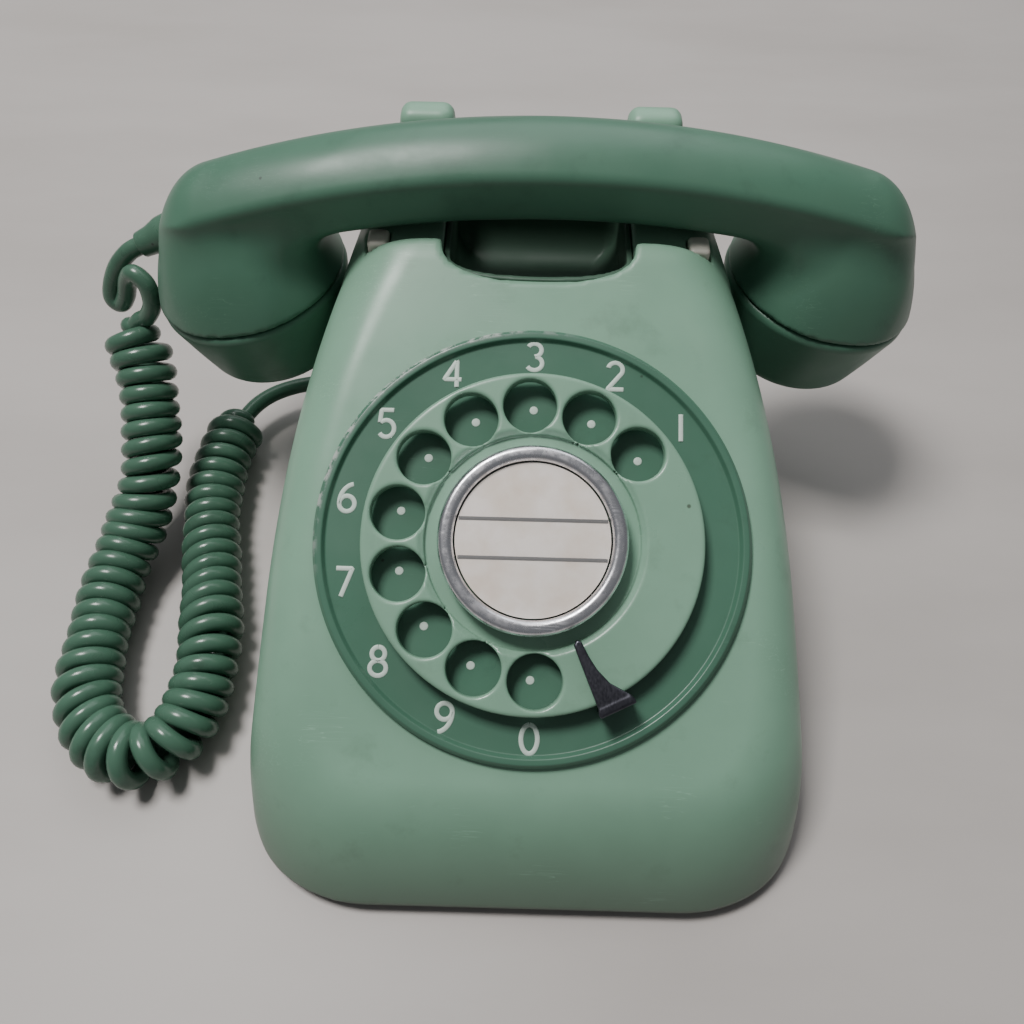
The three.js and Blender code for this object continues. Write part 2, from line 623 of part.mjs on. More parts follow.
// The two plates that carry the shafts, on pillars.
const PILLARS = [[-33, -20], [33, -20], [-32, 33], [32, 33]];
function dialFrame() {
  let made = rod(46, -9.6, -7.8, 32).subtract(rod(3.4, -20, 0, 16));
  made = made.subtract(place(rod(1.8, -20, 0, 12), [0, PINION_Y, 0]));
  for (const [x, y] of PILLARS) made = union(made, place(rod(2.6, -34, -4.4, 12), [x, y, 0]));
  return made;
}
function dialRearPlate() {
  const corners = [[-38, -25], [38, -25], [38, 38], [-38, 38]];
  let made = slab(corners, -33.8, -32).subtract(rod(3.4, -40, -30, 16));
  for (const [x, y] of PILLARS) made = made.subtract(place(rod(3, -40, -30, 12), [x, y, 0]));
  const bush = place(rod(4, -32.4, -29.4, 16).subtract(rod(1.9, -31.6, -20, 12)), [0, PINION_Y, 0]);
  const post = (x) => box(x - 1.2, x + 1.2, WORM.y - 3, WORM.y + 3, -32.4, WORM.z + 3);
  made = union(made, bush, box(-18.4, -16, WORM.y - 8, 38, -33.8, -32), post(-17.8));
  const pin = alongX(rod(1.5, -30, 30, 12));
  return union(made, box(-38, 38, 36, WORM.y + 3, -33.8, -32)).subtract(pin);
}
add("dial_frame", dialFrame(), STEEL, dialGroup);
add("dial_rear_plate", dialRearPlate(), STEEL, dialGroup);
const impulseStack = place(contactStack(-3, 3, 0, 0, 19), [-26, PINION_Y + 3, -18], [0, 90 * DEG, 0]);
add("impulse_contacts", impulseStack, BRASS, dialGroup);

// ---------------------------------------------------------------- ringer
const GONG = { x: 27, y: 78, radius: 22.6, top: 27 };
for (const [name, side] of [["left", -1], ["right", 1]]) {
  const dome = turned(
    [
      [2.4, GONG.top], [12, GONG.top - 0.6], [19, GONG.top - 4], [GONG.radius, GONG.top - 12],
      [GONG.radius - 1.6, GONG.top - 12], [17.6, GONG.top - 5.2], [11.4, GONG.top - 2.2],
      [2.4, GONG.top - 1.6],
    ],
    28,
  );
  add(`gong_${name}`, place(dome, [side * GONG.x, GONG.y, 0]), BRASS);
  const post = turned(
    [
      [0, BASE_TOP + GAP], [5, BASE_TOP + GAP], [5, 9], [3.4, 10], [3.4, GONG.top - 2], [2, GONG.top - 2],
      [2, GONG.top + 0.3], [4, GONG.top + 0.3], [4, GONG.top + 2.4], [0, GONG.top + 2.4],
    ],
    16,
  );
  add(`gong_post_${name}`, place(post, [side * GONG.x, GONG.y, 0]), STEEL);
}
const CLAPPER = { y: 47.5, z: 18 };
const ball = place(solid(new THREE.SphereGeometry(3, 12, 8)), [0, 79, CLAPPER.z]);
const clapperRod = place(rod(0.9, 0, 31, 10), [0, CLAPPER.y, CLAPPER.z], [-90 * DEG, 0, 0]);
add("clapper", union(box(-17, 17, 45.6, 49.4, 13, 23), clapperRod, ball), STEEL);
const ringerBase = box(-24, 24, 33, 60, BASE_TOP + GAP, 8.4);
const clapperPost = box(-3, 3, 46, 49, 8, 12.7);
add("ringer_frame", union(ringerBase, clapperPost), STEEL);
for (const [name, side] of [["left", -1], ["right", 1]]) {
  const coil = turned(
    [[0, 8.7], [6.2, 8.7], [6.2, 10.2], [5.4, 10.2], [5.4, 25.6], [6.2, 25.6], [6.2, 27], [0, 27]],
    16,
  );
  // Each bobbin stands close in front of the armature, one under either end of it.
  add(`ringer_coil_${name}`, place(coil, [side * 12, 38.2, 0]), COPPER);
}
add(
  "volume_wheel",
  place(
    turned([[0, 1], [9.2, 1], [10, 1.6], [10, 3.4], [9.2, 4], [3, 4], [3, 7], [7, 7], [7, 9], [0, 9]], 20),
    [VOLUME.x, VOLUME.y, 0],
  ),
  BLACK_PLASTIC,
);

// ---------------------------------------------------------------- circuit
add("terminal_board", box(-52, 52, -86, -42, 12, 13.6), BAKELITE);
add(
  "induction_coil",
  union(box(-36, -10, -78, -56, 13.9, 29), box(-31, -15, -82, -52, 16, 27)),
  COPPER,
);
add("capacitor", box(12, 40, -76, -58, 13.9, 27), STEEL);

// ---------------------------------------------------------------- handset
const handsetGroup = new THREE.Group();
handsetGroup.position.set(0, HANDSET.y, 0);
handsetGroup.rotation.z = HANDSET.turn;
telephone.add(handsetGroup);

// The handset in its own frame, whose X runs along it from under the middle of the grip.
function handleField(x, y, z) {
  const h = HANDSET;
  const ax = Math.abs(x);
  const edgeZ = h.top - h.droop * x * x - h.crown * h.halfWidth ** 2;
  const roof = z - (h.top - h.droop * x * x - h.crown * y * y);
  const side = Math.abs(y) - (h.halfWidth - h.taper * Math.max(edgeZ - z, 0));
  const below = h.top - h.droop * x * x - h.height - z;
  const grip = roundMax(roundMax(roundMax(roof, side, 1.8), below, 4), ax - h.end, 14);
  const up = (ax - h.headX) * Math.sin(h.tilt) + (z - h.headZ) * Math.cos(h.tilt);
  const out = (ax - h.headX) * Math.cos(h.tilt) - (z - h.headZ) * Math.sin(h.tilt);
  const radius = h.headRadius - h.narrow * up - h.narrowMore * up * Math.abs(up);
  const cone = (Math.hypot(out, y) - radius) * 0.9;
  const head = roundMax(roundMax(cone, roof, 14), -up - 6, 1);
  return smoothMin(grip, head, 7);
}

// Moves a solid from the left or right cap's own frame, whose -Z is the way that the cap faces.
const onHead = (made, side) =>
  place(made, [side * HANDSET.headX, 0, HANDSET.headZ], [0, side * HANDSET.tilt, 0]);

// Moves a solid from the telephone's frame into the handset's.
function intoHandset(made) {
  handsetGroup.updateMatrix();
  return made.transform(handsetGroup.matrix.clone().invert().elements);
}

function handsetBody() {
  let made = netSolid(handleField, [-126.3, -36.1, 61.7], [126.2, 36.4, 136], 7.1);
  for (const side of [-1, 1]) {
    made = made.subtract(onHead(box(-42, 42, -42, 42, -40, 0.3), side));
    made = made.subtract(onHead(rod(21, -5, 12, 24), side));
  }
  const glandHole = aim(rod(6 + GAP, -0.5, 40, 20), HANDSET_GLAND.from, HANDSET_GLAND.to);
  return made.subtract(intoHandset(glandHole));
}

function cap(holes) {
  const [r, d] = [HANDSET.headRadius, HANDSET.capDepth];
  const outer = [
    [0, -d], [14, -d + 0.3], [20.6, -d + 1.6], [24.6, -d + 5.4], [r - 3.2, -14], [r - 0.6, -1.6],
    [r - 1, -0.2],
  ];
  const inner = [[r - 3, -0.2], [r - 5.6, -14], [22.2, -d + 6.6], [19, -d + 4], [0, -d + 2.6]];
  let made = turned([...outer, ...inner], 26);
  const ringHoles = Array.from({ length: holes }, (_, i) => {
    const angle = (i / holes) * 2 * Math.PI;
    return [7 * Math.cos(angle), 7 * Math.sin(angle)];
  });
  for (const [x, y] of [[0, 0], ...ringHoles])
    made = made.subtract(place(rod(1.2, -40, -20, 6), [x, y, 0]));
  return made;
}

const capsule = turned([[0, -11.4], [14, -11.4], [19, -8], [20, -4], [20, 4], [12, 8], [0, 8]], 24);
add("handset_body", handsetBody(), DARK_GREEN, handsetGroup);
add("mouth_cap", onHead(cap(6), -1), DARK_GREEN, handsetGroup);
add("ear_cap", onHead(cap(6), 1), DARK_GREEN, handsetGroup);
add("transmitter_capsule", onHead(capsule, -1), STEEL, handsetGroup);
add("receiver_capsule", onHead(capsule, 1), STEEL, handsetGroup);

// ---------------------------------------------------------------- cord
const WIRE_BORE = CORD.wire / 2 + GAP;
add("handset_gland", sleeve(HANDSET_GLAND.from, HANDSET_GLAND.to, 6, 4.4, WIRE_BORE), DARK_GREEN);
add("base_gland", sleeve(BASE_GLAND.from, BASE_GLAND.to, 5, 4.4, WIRE_BORE), DARK_GREEN);
add("handset_lead", tube(HANDSET_LEAD, CORD.wire / 2, 26, 8), DARK_GREEN);
add("curly_cord", tube(COIL_PATH, CORD.coil / 2, 30, 10), DARK_GREEN);
add("base_lead", tube(BASE_LEAD, CORD.wire / 2, 8, 8), DARK_GREEN);
const lineGland = turned([[2.6, -6], [5, -6], [5, 0.9], [6.6, 0.9], [6.6, 1.6], [4.6, 2.6], [2.6, 2.6]], 16);
add(
  "line_gland",
  place(lineGland, [LINE_HOLE.x, LINE_HOLE.y, LINE_HOLE.z], [-90 * DEG, 0, 0]),
  BLACK_PLASTIC,
);

export default telephone;
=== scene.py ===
# The finished look of the rotary telephone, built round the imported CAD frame.
# Shapes are worked out in millimetres in the CAD's own frame and made into meshes in metres.
import json
import math

import bpy
import numpy as np
from mathutils import Euler, Matrix, Vector


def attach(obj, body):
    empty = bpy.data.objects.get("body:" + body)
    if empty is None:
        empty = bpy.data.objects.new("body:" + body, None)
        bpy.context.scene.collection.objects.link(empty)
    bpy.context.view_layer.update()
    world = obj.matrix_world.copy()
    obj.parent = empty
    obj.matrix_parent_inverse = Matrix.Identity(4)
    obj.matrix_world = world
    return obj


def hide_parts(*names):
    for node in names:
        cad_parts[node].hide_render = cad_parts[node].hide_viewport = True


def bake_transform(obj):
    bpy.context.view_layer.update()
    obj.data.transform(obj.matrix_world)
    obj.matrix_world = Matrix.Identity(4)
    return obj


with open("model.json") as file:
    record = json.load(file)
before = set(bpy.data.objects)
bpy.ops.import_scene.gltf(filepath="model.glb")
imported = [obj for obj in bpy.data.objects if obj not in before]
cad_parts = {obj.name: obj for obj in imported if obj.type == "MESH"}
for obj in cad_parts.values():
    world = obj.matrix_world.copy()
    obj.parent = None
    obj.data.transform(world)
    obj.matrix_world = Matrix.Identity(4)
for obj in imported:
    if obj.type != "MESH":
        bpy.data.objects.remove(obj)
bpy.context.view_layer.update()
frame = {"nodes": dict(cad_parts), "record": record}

MM = 0.001
DEG = math.pi / 180

# ---------------------------------------------------------------- sizes in millimetres
# The housing's wall is a little thicker than the CAD's, so that the net made of it stays whole.
HOUSING = {
    "half_width": 80.6,
    "lean": 0.135,
    "waist": 0.00117,
    "widest_y": -40,
    "front": -113.8,
    "rear": 111,
    "front_lean": 0.234,
    "rear_lean": 0.17,
    "corner": 37.5,
    "rear_corner": 30,
    "edge": 13,
    "edge_spread": 0.0021,
    "rear_edge": 10,
    "bottom": 4,
    "crest": 105.5,
    "saddle": 100.3,
    "saddle_y": 47.5,
    "wall": 3.4,
}
DIAL_Y, DIAL_Z, DIAL_SLOPE, DIAL_PROUD = -31, 67, 28 * DEG, 2
HOLE_RADIUS, HOLE_CIRCLE, FIRST_HOLE, HOLE_PITCH = 7.2, 36.3, 40.9 * DEG, 25.7 * DEG
WHEEL_RADIUS, WHEEL_TOP, WHEEL_BOTTOM = 45.3, 5.5, 1.2
NOTCH = (26.6, 5.1)
PLATE_RADIUS, PLATE_TOP = 59, -0.8
CARD_RADIUS, CARD_TOP = 20.2, 8.5
DIGIT_CIRCLE, DIGIT_SCALE, DIGIT_STROKE = 51.4, 0.94, 0.66
CARD_LINE_HALF, CARD_LINE_STROKE = 19.3, 0.5
PLATE_TURN = -1.7 * DEG
WELL_FLOOR = 76
STOP_ROOT, STOP_ROOT_END = (18.3, -44.4), (26.8, -40.3)
STOP_OUTLINE = [
    (11, -26.6), (11.8, -25.2), (13, -25.6), (15, -29.4), (17.2, -32.6), (20.4, -35.8), (25.6, -38.4),
    STOP_ROOT_END, STOP_ROOT,
]
PLUNGER = (46.5, 50.8, 94.1)
PLUNGER_HALF = (3, 3.6, 7.9)
PLUNGER_GAP = 0.3
EAR = {"x": 34, "y": 87.6, "top": 120.3, "root": 92, "half_width": 8, "half_depth": 4.6, "corner": 3.4}
HANDSET = {
    "y": 63.6,
    "turn": 1.1 * DEG,
    "top": 129.2,
    "droop": 0.0016,
    "crown": 0.031,
    "height": 22.8,
    "half_width": 15,
    "taper": 0.17,
    "end": 112,
    "head_x": 90.6,
    "head_z": 77.7,
    "head_radius": 30.8,
    "narrow": 0.32,
    "narrow_more": 0.0102,
    "tilt": 9.8 * DEG,
    "cap_depth": 30,
}
WIRE, COIL, COIL_PITCH = 5.8, 20, 6.0
FLOOR_HALF = 3000

# ---------------------------------------------------------------- camera
CAMERA_AT = (-4.69, -155.4, 258.87)
CAMERA_PITCH, CAMERA_YAW, CAMERA_ROLL = 55.02 * DEG, -0.4 * DEG, 1.17 * DEG
CAMERA_LENS = 30.04


def make_camera():
    cp, sp = math.cos(CAMERA_PITCH), math.sin(CAMERA_PITCH)
    ahead = Vector((math.sin(CAMERA_YAW) * cp, math.cos(CAMERA_YAW) * cp, -sp))
    level = ahead.cross(Vector((0, 0, 1))).normalized()
    above = level.cross(ahead)
    right = level * math.cos(CAMERA_ROLL) + above * math.sin(CAMERA_ROLL)
    up = above * math.cos(CAMERA_ROLL) - level * math.sin(CAMERA_ROLL)
    data = bpy.data.cameras.new("camera")
    data.sensor_width = 36
    data.lens = CAMERA_LENS
    data.clip_start = 0.01
    camera = bpy.data.objects.new("camera", data)
    turn = Matrix((right, up, -ahead)).transposed().to_4x4()
    camera.matrix_world = Matrix.Translation(Vector(CAMERA_AT) * MM) @ turn
    bpy.context.collection.objects.link(camera)
    bpy.context.scene.camera = camera


make_camera()


# ---------------------------------------------------------------- mesh helpers
def make_mesh(name, vertices, faces):
    """A new smooth-shaded object from vertices in millimetres and a list of faces."""
    data = bpy.data.meshes.new(name)
    data.from_pydata((np.asarray(vertices, float) * MM).tolist(), [], faces)
    data.validate()
    data.polygons.foreach_set("use_smooth", [True] * len(data.polygons))
    made = bpy.data.objects.new(name, data)
    bpy.context.collection.objects.link(made)
    return made


def place(made, matrix):
    """Moves a made mesh's vertices by a matrix whose shift is in metres."""
    made.data.transform(matrix)
    return made


def finish_piece(made, body, material, slot, *nodes):
    """Gives a piece its material and the body that it rides on, and hides the CAD nodes that it replaces. The
    slot is not used.
    """
    made.data.materials.clear()
    made.data.materials.append(material)
    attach(made, body)
    if nodes:
        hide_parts(*nodes)
    return made


def dial_frame_matrix():
    """Takes the dial's own frame, whose Z is the dial's axis, to the part's frame."""
    shift = Matrix.Translation((0, DIAL_Y * MM, DIAL_Z * MM))
    return shift @ Euler((DIAL_SLOPE, 0, 0)).to_matrix().to_4x4()


def lathe_shape(rings, sides):
    """The vertices and faces of a solid of revolution about Z from (radius, height) corners."""
    vertices, faces, start = [], [], []
    for r, h in rings:
        start.append(len(vertices))
        if r < 1e-6:
            vertices.append((0, 0, h))
            continue
        for i in range(sides):
            angle = 2 * math.pi * i / sides
            vertices.append((r * math.cos(angle), r * math.sin(angle), h))
    on_axis = [r < 1e-6 for r, _ in rings]
    pairs = list(zip(range(len(rings)), range(1, len(rings))))
    if not on_axis[0]:
        pairs.append((len(rings) - 1, 0))
    for a, b in pairs:
        if on_axis[a] and on_axis[b]:
            continue
        for i in range(sides):
            j = (i + 1) % sides
            ring_a = [start[a]] if on_axis[a] else [start[a] + i, start[a] + j]
            ring_b = [start[b]] if on_axis[b] else [start[b] + j, start[b] + i]
            faces.append(ring_a + ring_b)
    return vertices, faces


def lathe(name, profile, sides):
    """A solid of revolution, closed on itself or on the axis."""
    return make_mesh(name, *lathe_shape(profile, sides))


def joined(shapes):
    """The vertices and faces of several shapes as one."""
    vertices, faces = [], []
    for points, polygons in shapes:
        start = len(vertices)
        vertices.extend(tuple(point) for point in points)
        faces.extend([start + i for i in polygon] for polygon in polygons)
    return vertices, faces


def soften(points, radius, steps=4):
    """Rounds every corner of a closed or axis-ended profile, so that its edges catch the light."""
    rounded = []
    count = len(points)
    open_ended = points[0][0] < 1e-6
    for k, point in enumerate(points):
        if open_ended and k in (0, count - 1):
            rounded.append(point)
            continue
        here = np.array(point, float)
        before = np.array(points[k - 1], float) - here
        after = np.array(points[(k + 1) % count], float) - here
        cut = min(radius, np.hypot(*before) / 2.05, np.hypot(*after) / 2.05)
        a = here + before / np.hypot(*before) * cut
        b = here + after / np.hypot(*after) * cut
        for s in range(steps + 1):
            t = s / steps
            rounded.append(tuple((1 - t) ** 2 * a + 2 * t * (1 - t) * here + t * t * b))
    return rounded


def net(name, field, low, high, step, passes=4):
    """The zero surface of a field that is negative inside, by surface nets pulled onto the surface."""
    axes = [np.arange(a, b + step, step) for a, b in zip(low, high)]
    value = field(*np.meshgrid(*axes, indexing="ij"))
    cells = tuple(n - 1 for n in value.shape)
    total = np.zeros((3, np.prod(cells)))
    count = np.zeros(np.prod(cells))
    quads = []
    for axis in range(3):
        near, far = [slice(None)] * 3, [slice(None)] * 3
        near[axis], far[axis] = slice(None, -1), slice(1, None)
        v0, v1 = value[tuple(near)], value[tuple(far)]
        hit = np.stack(np.nonzero((v0 < 0) != (v1 < 0)), 1)
        start, end = v0[tuple(hit.T)], v1[tuple(hit.T)]
        point = np.stack([axes[k][hit[:, k]] for k in range(3)], 1)
        point[:, axis] += start / (start - end) * step
        around = []
        for back_b, back_c in ((1, 1), (0, 1), (0, 0), (1, 0)):
            cell = hit.copy()
            cell[:, (axis + 1) % 3] -= back_b
            cell[:, (axis + 2) % 3] -= back_c
            flat = np.ravel_multi_index(cell.T, cells)
            around.append(flat)
            count += np.bincount(flat, minlength=count.size)
            for k in range(3):
                total[k] += np.bincount(flat, weights=point[:, k], minlength=count.size)
        quad = np.stack(around, 1)
        outward = start < 0
        quads.append(np.where(outward[:, None], quad, quad[:, ::-1]))
    used = np.nonzero(count)[0]
    number = np.zeros(count.size, np.int64)
    number[used] = np.arange(used.size)
    point = (total[:, used] / count[used]).T
    nudge = 0.02
    for _ in range(passes):
        here = field(*point.T)
        slope = np.empty_like(point)
        for k in range(3):
            shift = np.zeros(3)
            shift[k] = nudge
            slope[:, k] = (field(*(point + shift).T) - field(*(point - shift).T)) / (2 * nudge)
        size = np.maximum((slope**2).sum(1), 0.04)
        move = np.clip(here / size, -step, step)
        point = point - move[:, None] * slope
    faces = number[np.concatenate(quads)]
    return make_mesh(name, point, faces.tolist())


# ---------------------------------------------------------------- fields: negative inside, in millimetres
def round_max(a, b, r):
    """Where both fields are inside, with the edge between them rounded."""
    return np.minimum(-r, np.maximum(a, b)) + np.hypot(np.maximum(a + r, 0), np.maximum(b + r, 0))


def round_min(a, b, r):
    """Where either field is inside, with the inner corner between them rounded."""
    return -round_max(-a, -b, r)


def smooth_min(a, b, r):
    """Where either field is inside, blended over r."""
    h = np.maximum(r - np.abs(a - b), 0) / r
    return np.minimum(a, b) - h * h * r / 4


def rounded_corner(qx, qy, r):
    return np.hypot(np.maximum(qx, 0), np.maximum(qy, 0)) + np.minimum(np.maximum(qx, qy), 0) - r


def plan_field(x, y, z, inset):
    h = HOUSING
    back = np.maximum(0, y - h["widest_y"])
    half = h["half_width"] - inset - h["lean"] * z - h["waist"] * back**2
    front = h["front"] + inset + h["front_lean"] * z
    rear = h["rear"] - inset - h["rear_lean"] * z
    radius = np.where(y < 0, h["corner"], h["rear_corner"]) - inset
    qx = np.abs(x) - (half - radius)
    qy = np.maximum(front + radius - y, y - (rear - radius))
    return rounded_corner(qx, qy, radius)


def edge_at(y):
    """The radius between the walls and the face: it grows towards the front and the crest."""
    beside = HOUSING["edge"] + HOUSING["edge_spread"] * (y - DIAL_Y) ** 2
    return np.maximum(HOUSING["rear_edge"], np.minimum(beside, 50 - y / 2))


def body_field(x, y, z, inset, top):
    face_z = DIAL_Z - DIAL_PROUD / math.cos(DIAL_SLOPE) + (y - DIAL_Y) * math.tan(DIAL_SLOPE)
    face = (z - face_z) * math.cos(DIAL_SLOPE) + inset
    roof = round_max(face, z - top, 3)
    return round_max(plan_field(x, y, z, inset), roof, edge_at(y) - inset)


def well_field(x, y):
    """The finger well under the handset, seen from above."""
    half, lip, rear, depth, power = 27.5, 46, 82, 10.5, 2.5
    ax = np.abs(x)
    dy = np.maximum(lip - y, 0)
    level = ((ax / half) ** power + (dy / depth) ** power) ** (1 / power)
    slope = np.hypot(ax / half**2, dy / depth**2) + 1e-6
    bowl = level * (level - 1) / slope
    straight = rounded_corner(ax - (half - 6), y - (rear - 6), 6)
    return np.where(y < lip, bowl, straight)


def ear_field(x, y, z):
    """The two rear ears that keep the handset from sliding back."""
    r, below = EAR["corner"], EAR["top"] - z
    qx = np.abs(np.abs(x) - EAR["x"]) - (EAR["half_width"] + 0.04 * below - r)
    qy = np.abs(y - EAR["y"] + 0.03 * below) - (EAR["half_depth"] + 0.1 * below - r)
    qz = r - below
    outside = np.sqrt(np.maximum(qx, 0) ** 2 + np.maximum(qy, 0) ** 2 + np.maximum(qz, 0) ** 2)
    ear = outside + np.minimum(np.maximum(np.maximum(qx, qy), qz), 0) - r
    return np.maximum(ear, EAR["root"] - z)


def shell_field(x, y, z):
    h = HOUSING
    made = body_field(x, y, z, 0, h["crest"])
    saddle_cut = round_min(y - h["saddle_y"], z - h["saddle"], 2.5)
    made = round_max(made, saddle_cut, 2.2)
    made = smooth_min(made, ear_field(x, y, z), 3.5)
    inner = body_field(x, y, z, h["wall"], h["saddle"] - h["wall"])
    made = np.maximum(made, -inner)
    made = round_max(made, -np.maximum(well_field(x, y), 90 - z), 1.2)
    cos, sin = math.cos(DIAL_SLOPE), math.sin(DIAL_SLOPE)
    up = -(y - DIAL_Y) * sin + (z - DIAL_Z) * cos
    across = np.hypot(x, (y - DIAL_Y) * cos + (z - DIAL_Z) * sin)
    made = np.maximum(made, -np.maximum(across - 52, -24 - up))
    slot_x, slot_y = (half + PLUNGER_GAP for half in PLUNGER_HALF[:2])
    plunger = np.maximum(np.abs(np.abs(x) - PLUNGER[0]) - slot_x, np.abs(y - PLUNGER[1]) - slot_y)
    made = np.maximum(made, -np.maximum(plunger, 85 - z))
    cord_hole = np.maximum(np.hypot(y - 83 - 0.23 * (x + 54), z - 13) - 5.4, x + 44)
    line_hole = np.maximum(np.hypot(x - 32, z - 14) - 5.3, 100 - y)
    made = np.maximum(np.maximum(made, -cord_hole), -line_hole)
    return round_max(made, h["bottom"] - z, 1.5)


def tray_field(x, y, z):
    """The tray that lines the finger well: a deep dish with a rounded floor."""
    wall = well_field(x, y)
    block = np.maximum(wall + 0.4, np.maximum(WELL_FLOOR - 2 - z, z - HOUSING["saddle"] + 0.8))
    dish = round_max(wall + 2.0, WELL_FLOOR - z, 9)
    return np.maximum(block, -dish)


def handset_field(x, y, z):
    """The handset in its own frame, whose X runs along it from under the middle of the grip."""
    h = HANDSET
    ax = np.abs(x)
    spine = h["top"] - h["droop"] * x * x
    roof = z - (spine - h["crown"] * y * y)
    drop = np.maximum(spine - h["crown"] * h["half_width"] ** 2 - z, 0)
    side = np.abs(y) - (h["half_width"] - h["taper"] * drop)
    section = round_max(round_max(roof, side, 1.8), spine - h["height"] - z, 4)
    grip = round_max(section, ax - h["end"], 14)
    cos, sin = math.cos(h["tilt"]), math.sin(h["tilt"])
    up = (ax - h["head_x"]) * sin + (z - h["head_z"]) * cos
    out = (ax - h["head_x"]) * cos - (z - h["head_z"]) * sin
    radius = h["head_radius"] - h["narrow"] * up - h["narrow_more"] * up * np.abs(up)
    cone = (np.hypot(out, y) - radius) * 0.9
    head = round_max(round_max(cone, roof, 14), -up - 6, 1)
    # The fillet between grip and head is generous on the inner side and small on the outside.
    made = smooth_min(grip, head, 7 + 9 * np.clip((h["head_x"] - 4 - ax) / 12, 0, 1))
    made = round_max(made, 0.35 - up, 1.0)
    socket = np.maximum(np.hypot(out, y) - 21, up - 12)
    return np.maximum(made, -socket)


def wheel_field(x, y, z):
    """The finger wheel in the dial's own frame, its holes bevelled and a groove round the card."""
    across = np.hypot(x, y)
    top = WHEEL_TOP - 0.9 * np.clip((30.2 - across) / 1.2, 0, 1)
    disc = round_max(across - WHEEL_RADIUS, z - top, 1.0)
    disc = round_max(disc, WHEEL_BOTTOM - z, 0.8)
    hole = np.full_like(across, 99.0)
    for i in range(10):
        at = FIRST_HOLE + i * HOLE_PITCH
        hole = np.minimum(hole, np.hypot(x - HOLE_CIRCLE * math.cos(at), y - HOLE_CIRCLE * math.sin(at)))
    disc = round_max(disc, HOLE_RADIUS - hole, 0.75)
    seat = np.maximum(across - 28.6, 3.3 - z)
    disc = round_max(disc, -seat, 0.3)
    hub = np.maximum(across - 20.2, np.maximum(z - 7.8, 1.4 - z))
    disc = np.minimum(disc, hub)
    notch = np.maximum(np.hypot(x - NOTCH[0], y - NOTCH[1]) - 1.1, 4.4 - z)
    disc = np.maximum(disc, -notch)
    screw_seat = np.maximum(across - 5.6, 4.5 - z)
    return np.maximum(np.maximum(disc, -screw_seat), 3.4 - across)


def polygon_field(x, y, corners):
    """Distance from a flat outline, negative inside it."""
    nearest = np.full_like(x, 1e6)
    inside = np.zeros(x.shape, bool)
    for (ax, ay), (bx, by) in zip(corners, corners[1:] + corners[:1]):
        ex, ey = bx - ax, by - ay
        t = np.clip(((x - ax) * ex + (y - ay) * ey) / (ex * ex + ey * ey), 0, 1)
        nearest = np.minimum(nearest, np.hypot(x - ax - t * ex, y - ay - t * ey))
        inside ^= ((y < ay) != (y < by)) & (x < ax + (y - ay) * ex / (ey or 1e-9))
    return np.where(inside, -nearest, nearest)


def stop_field(x, y, z):
    """The finger stop in the dial's frame: a blade over the wheel, bent down outside its rim."""
    blade = round_max(polygon_field(x, y, STOP_OUTLINE), np.abs(z - 7.8) - 0.6, 0.5)
    ex, ey = STOP_ROOT_END[0] - STOP_ROOT[0], STOP_ROOT_END[1] - STOP_ROOT[1]
    width = math.hypot(ex, ey)
    along = ((x - STOP_ROOT[0]) * ex + (y - STOP_ROOT[1]) * ey) / width
    inward = ((y - STOP_ROOT[1]) * ex - (x - STOP_ROOT[0]) * ey) / width
    flat = round_max(np.abs(along - width / 2) - width / 2, np.abs(inward - 0.6) - 0.6, 0.5)
    leg = np.maximum(flat, np.abs(z - 3.5) - 4.4)
    return smooth_min(blade, leg, 1.4)


def plunger_field(x, y, z):
    """A hook plunger about its own middle: a bar with rounded edges and a slightly domed top."""
    hx, hy, hz = PLUNGER_HALF
    bar = round_max(np.abs(x) - hx, np.abs(y) - hy, 1.2)
    return round_max(bar, np.abs(z + 0.03 * (x * x + y * y)) - hz, 0.9)


# ---------------------------------------------------------------- materials
def material(name, color, roughness, metallic=0.0, alpha=1.0):
    """A new material, its node tree and its shader."""
    made = bpy.data.materials.new(name)
    made.use_nodes = True
    tree = made.node_tree
    shader = tree.nodes["Principled BSDF"]
    shader.inputs["Base Color"].default_value = (*color, 1)
    shader.inputs["Roughness"].default_value = roughness
    shader.inputs["Metallic"].default_value = metallic
    shader.inputs["Alpha"].default_value = alpha
    return made, tree, shader


def node(tree, kind, settings=None, **inputs):
    """A node with its settings, and its inputs set to values or linked to sockets."""
    made = tree.nodes.new(kind)
    for key, value in (settings or {}).items():
        setattr(made, key, value)
    for key, value in inputs.items():
        socket = made.inputs[int(key[1:]) if key[0] == "i" and key[1:].isdigit() else key.replace("_", " ")]
        if isinstance(value, bpy.types.NodeSocket):
            tree.links.new(value, socket)
        else:
            socket.default_value = value
    return made


def arithmetic(tree, operation, a, b=0.0):
    """The result of a sum on two values or sockets, or on the first alone."""
    return node(tree, "ShaderNodeMath", {"operation": operation}, i0=a, i1=b).outputs[0]


def place_on(tree, scale=(1, 1, 1)):
    """Object coordinates in metres, stretched by scale."""
    where = node(tree, "ShaderNodeTexCoord").outputs["Object"]
    return node(tree, "ShaderNodeMapping", Vector=where, Scale=scale).outputs["Vector"]


def noise(tree, where, scale, detail, roughness=0.55):
    made = node(tree, "ShaderNodeTexNoise", Vector=where, Scale=scale, Detail=detail, Roughness=roughness)
    return made.outputs["Fac"]


def remap(tree, value, from_low, from_high, to_low=0.0, to_high=1.0):
    made = node(tree, "ShaderNodeMapRange", {"clamp": True}, Value=value)
    made.inputs["From Min"].default_value = from_low
    made.inputs["From Max"].default_value = from_high
    made.inputs["To Min"].default_value = to_low
    made.inputs["To Max"].default_value = to_high
    return made.outputs["Result"]


